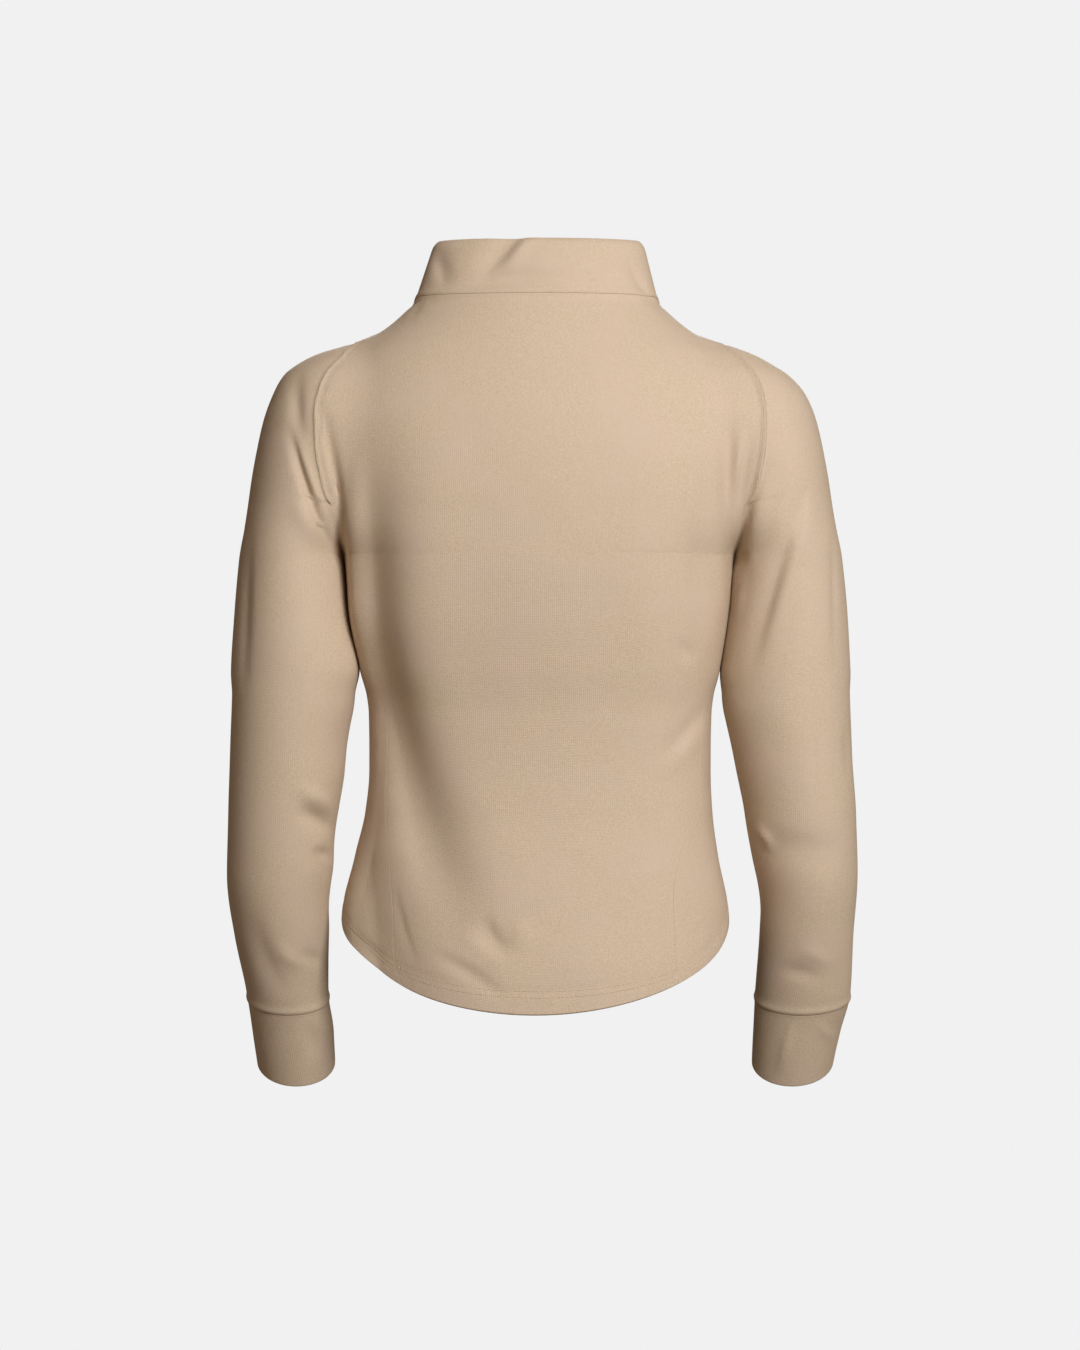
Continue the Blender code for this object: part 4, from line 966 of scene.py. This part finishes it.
def sleeve_grid(side):
    """The places of a sleeve, row by row from the neck over the shoulder and down the arm."""
    seams = [along(raglan(side, face), shares(RAGLAN_ROWS, at_start=False))[::-1] for face in (1, -1)]
    rows = [along(neck_line(side * NECK_BACK_END, side * NECK_FRONT_END), shares(SLEEVE_COLUMNS))]
    for i in range(1, RAGLAN_ROWS):
        row = shoulder_row(side, i / RAGLAN_ROWS, seams[0][i], seams[1][i], SLEEVE_COLUMNS)
        row[0], row[-1] = seams[0][i], seams[1][i]
        rows.append(row)
    for share in shares(SLEEVE_ROWS, at_start=False):
        level = ARMPIT + share * (CUFF_SEAM - ARMPIT)
        rows.append(sleeve_ring(side, level, CUFF_SEAM_DIP * share ** 2, SLEEVE_COLUMNS))
    return np.stack(rows)


for side, name in ((1, "left_sleeve"), (-1, "right_sleeve")):
    points = sleeve_grid(side)
    normals = outward(points, sleeve_form(side))
    first, last, below_neck, above_cuff = from_edges(points)
    aside = np.minimum(first, last)
    cap = np.clip((RAGLAN_ROWS - np.arange(len(points))) / CAP_BLEND, 0, 1)[:, None]
    seams = (
        cap * (rolled(aside, SEAM_ROLL) + ridge(-aside, *RAGLAN_RIDGE))
        + (1 - cap) * ridge(aside, *UNDERARM_GROOVE)
        + rolled(below_neck, SEAM_ROLL)
        + ridge(-below_neck, *NECK_RIDGE) + ridge(-below_neck, *NECK_TROUGH)
        + rolled(above_cuff, SEAM_ROLL) + ridge(above_cuff, *CUFF_RIDGE)
    )
    turnings = np.maximum(
        cap * fading(aside, *ALLOWANCE), fading(np.minimum(below_neck, above_cuff), *ALLOWANCE))
    points = pulled_in(points, RAGLAN_ROWS)
    lift = fold_height(points, normals) - EASE
    outer = points + normals * (lift + seams)[..., None]
    inner = points + normals * (lift - CLOTH - ALLOWANCE_THICK * turnings)[..., None]
    piece = lay_cloth(name + "_cloth", outer, inner, RAGLAN_ROWS, (smooth_face, brushed_face))
    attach(piece, "root")
    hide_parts(name)


# --- Cuffs ----------------------------------------------------------------------------------------
# Each cuff is a band of the same fleece folded double, so the smooth face shows inside too. Its two raw
# edges are sewn to the sleeve's end, whose cloth stands up a little along the seam.

CUFF_ROWS = 30
CUFF_END, CUFF_END_DIP = -0.6310, 0.66
FOLD_ROLL = 0.0013  # how round the doubled cloth is at its fold

for side, name in ((1, "left_cuff"), (-1, "right_cuff")):
    rows = []
    for share in shares(CUFF_ROWS):
        level = CUFF_SEAM + share * (CUFF_END - CUFF_SEAM)
        dip = CUFF_SEAM_DIP + share * (CUFF_END_DIP - CUFF_SEAM_DIP)
        rows.append(sleeve_ring(side, level, dip, SLEEVE_COLUMNS))
    points = np.stack(rows)
    normals = outward(points, sleeve_form(side))
    first, last, below_seam, above_end = from_edges(points)
    seams = (
        rolled(below_seam, SEAM_ROLL) + ridge(-below_seam, *CUFF_RIDGE)
        + ridge(np.minimum(first, last), *UNDERARM_GROOVE) + rolled(above_end, FOLD_ROLL)
    )
    points = pulled_in(points, 0)
    lift = fold_height(points, normals) - EASE
    outer = points + normals * (lift + seams)[..., None]
    inner = points + normals * (lift - DOUBLED - rolled(above_end, FOLD_ROLL))[..., None]
    piece = lay_cloth(name + "_cloth", outer, inner, 0, (smooth_face, smooth_face))
    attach(piece, "root")
    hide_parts(name)


# --- Stand collar ---------------------------------------------------------------------------------
# The collar is one strip of the same fleece folded double. It stands up by its own stiffness, its folded
# edge leans in a little, and its base stands up in a soft ridge along the neck seam.

COLLAR_ROWS, NECK_COLUMNS = 26, 42
COLLAR_TOP = dict(
    half=0.0857, sway=0.001, back=0.040, front=0.060, back_height=0.0490, front_height=0.030)
TOP_LEAN, TOP_LEAN_DEPTH = 0.003, 0.008


def grid_normals(points):
    """Normals of a tube's grid, facing away from its middle."""
    ring = points[:, :-1]
    around = np.roll(ring, -1, axis=1) - np.roll(ring, 1, axis=1)
    normals = unit(np.cross(around, np.gradient(ring, axis=0)))
    away = np.sum(normals * (ring - ring.mean(axis=1, keepdims=True)))
    return np.concatenate((normals, normals[:, :1]), axis=1) * np.sign(away)


base = []
for start, end, count in (
    (-NECK_BACK_END, NECK_BACK_END, BACK_COLUMNS),
    (NECK_BACK_END, NECK_FRONT_END, NECK_COLUMNS),
    (NECK_FRONT_END, 2 * np.pi - NECK_FRONT_END, FRONT_COLUMNS),
    (-NECK_FRONT_END, -NECK_BACK_END, NECK_COLUMNS),
):
    base.append(along(neck_line(start, end), shares(count))[:-1])
base = np.concatenate(base)
base = np.concatenate((base, base[:1]))
angle = np.arctan2(base[:, 0] / NECK_WIDE, base[:, 1] / NECK_DEEP)
deep = np.where(np.cos(angle) > 0, COLLAR_TOP["back"], COLLAR_TOP["front"])
drop = COLLAR_TOP["front_height"] - COLLAR_TOP["back_height"]
height = COLLAR_TOP["back_height"] + drop * forward(angle)
across = COLLAR_TOP["sway"] + COLLAR_TOP["half"] * np.sin(angle)
top = np.stack([across, deep * np.cos(angle), height], axis=-1)
share = shares(COLLAR_ROWS)[:, None, None]
points = (1 - share) * base + share * top
normals = grid_normals(points)
_, _, above_base, below_top = from_edges(points)
seams = ridge(above_base, *NECK_RIDGE) + rolled(above_base, SEAM_ROLL)
seams += rolled(below_top, FOLD_ROLL)
lean = TOP_LEAN * np.clip(1 - below_top / TOP_LEAN_DEPTH, 0, 1) ** 2
points = pulled_in(points, 0)
lift = fold_height(points, normals) - EASE - lean
outer = points + normals * (lift + seams)[..., None]
inner = points + normals * (lift - DOUBLED - rolled(below_top, FOLD_ROLL))[..., None]
collar = lay_cloth("stand_collar", outer, inner, 0, (smooth_face, smooth_face))
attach(collar, "root")
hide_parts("collar")
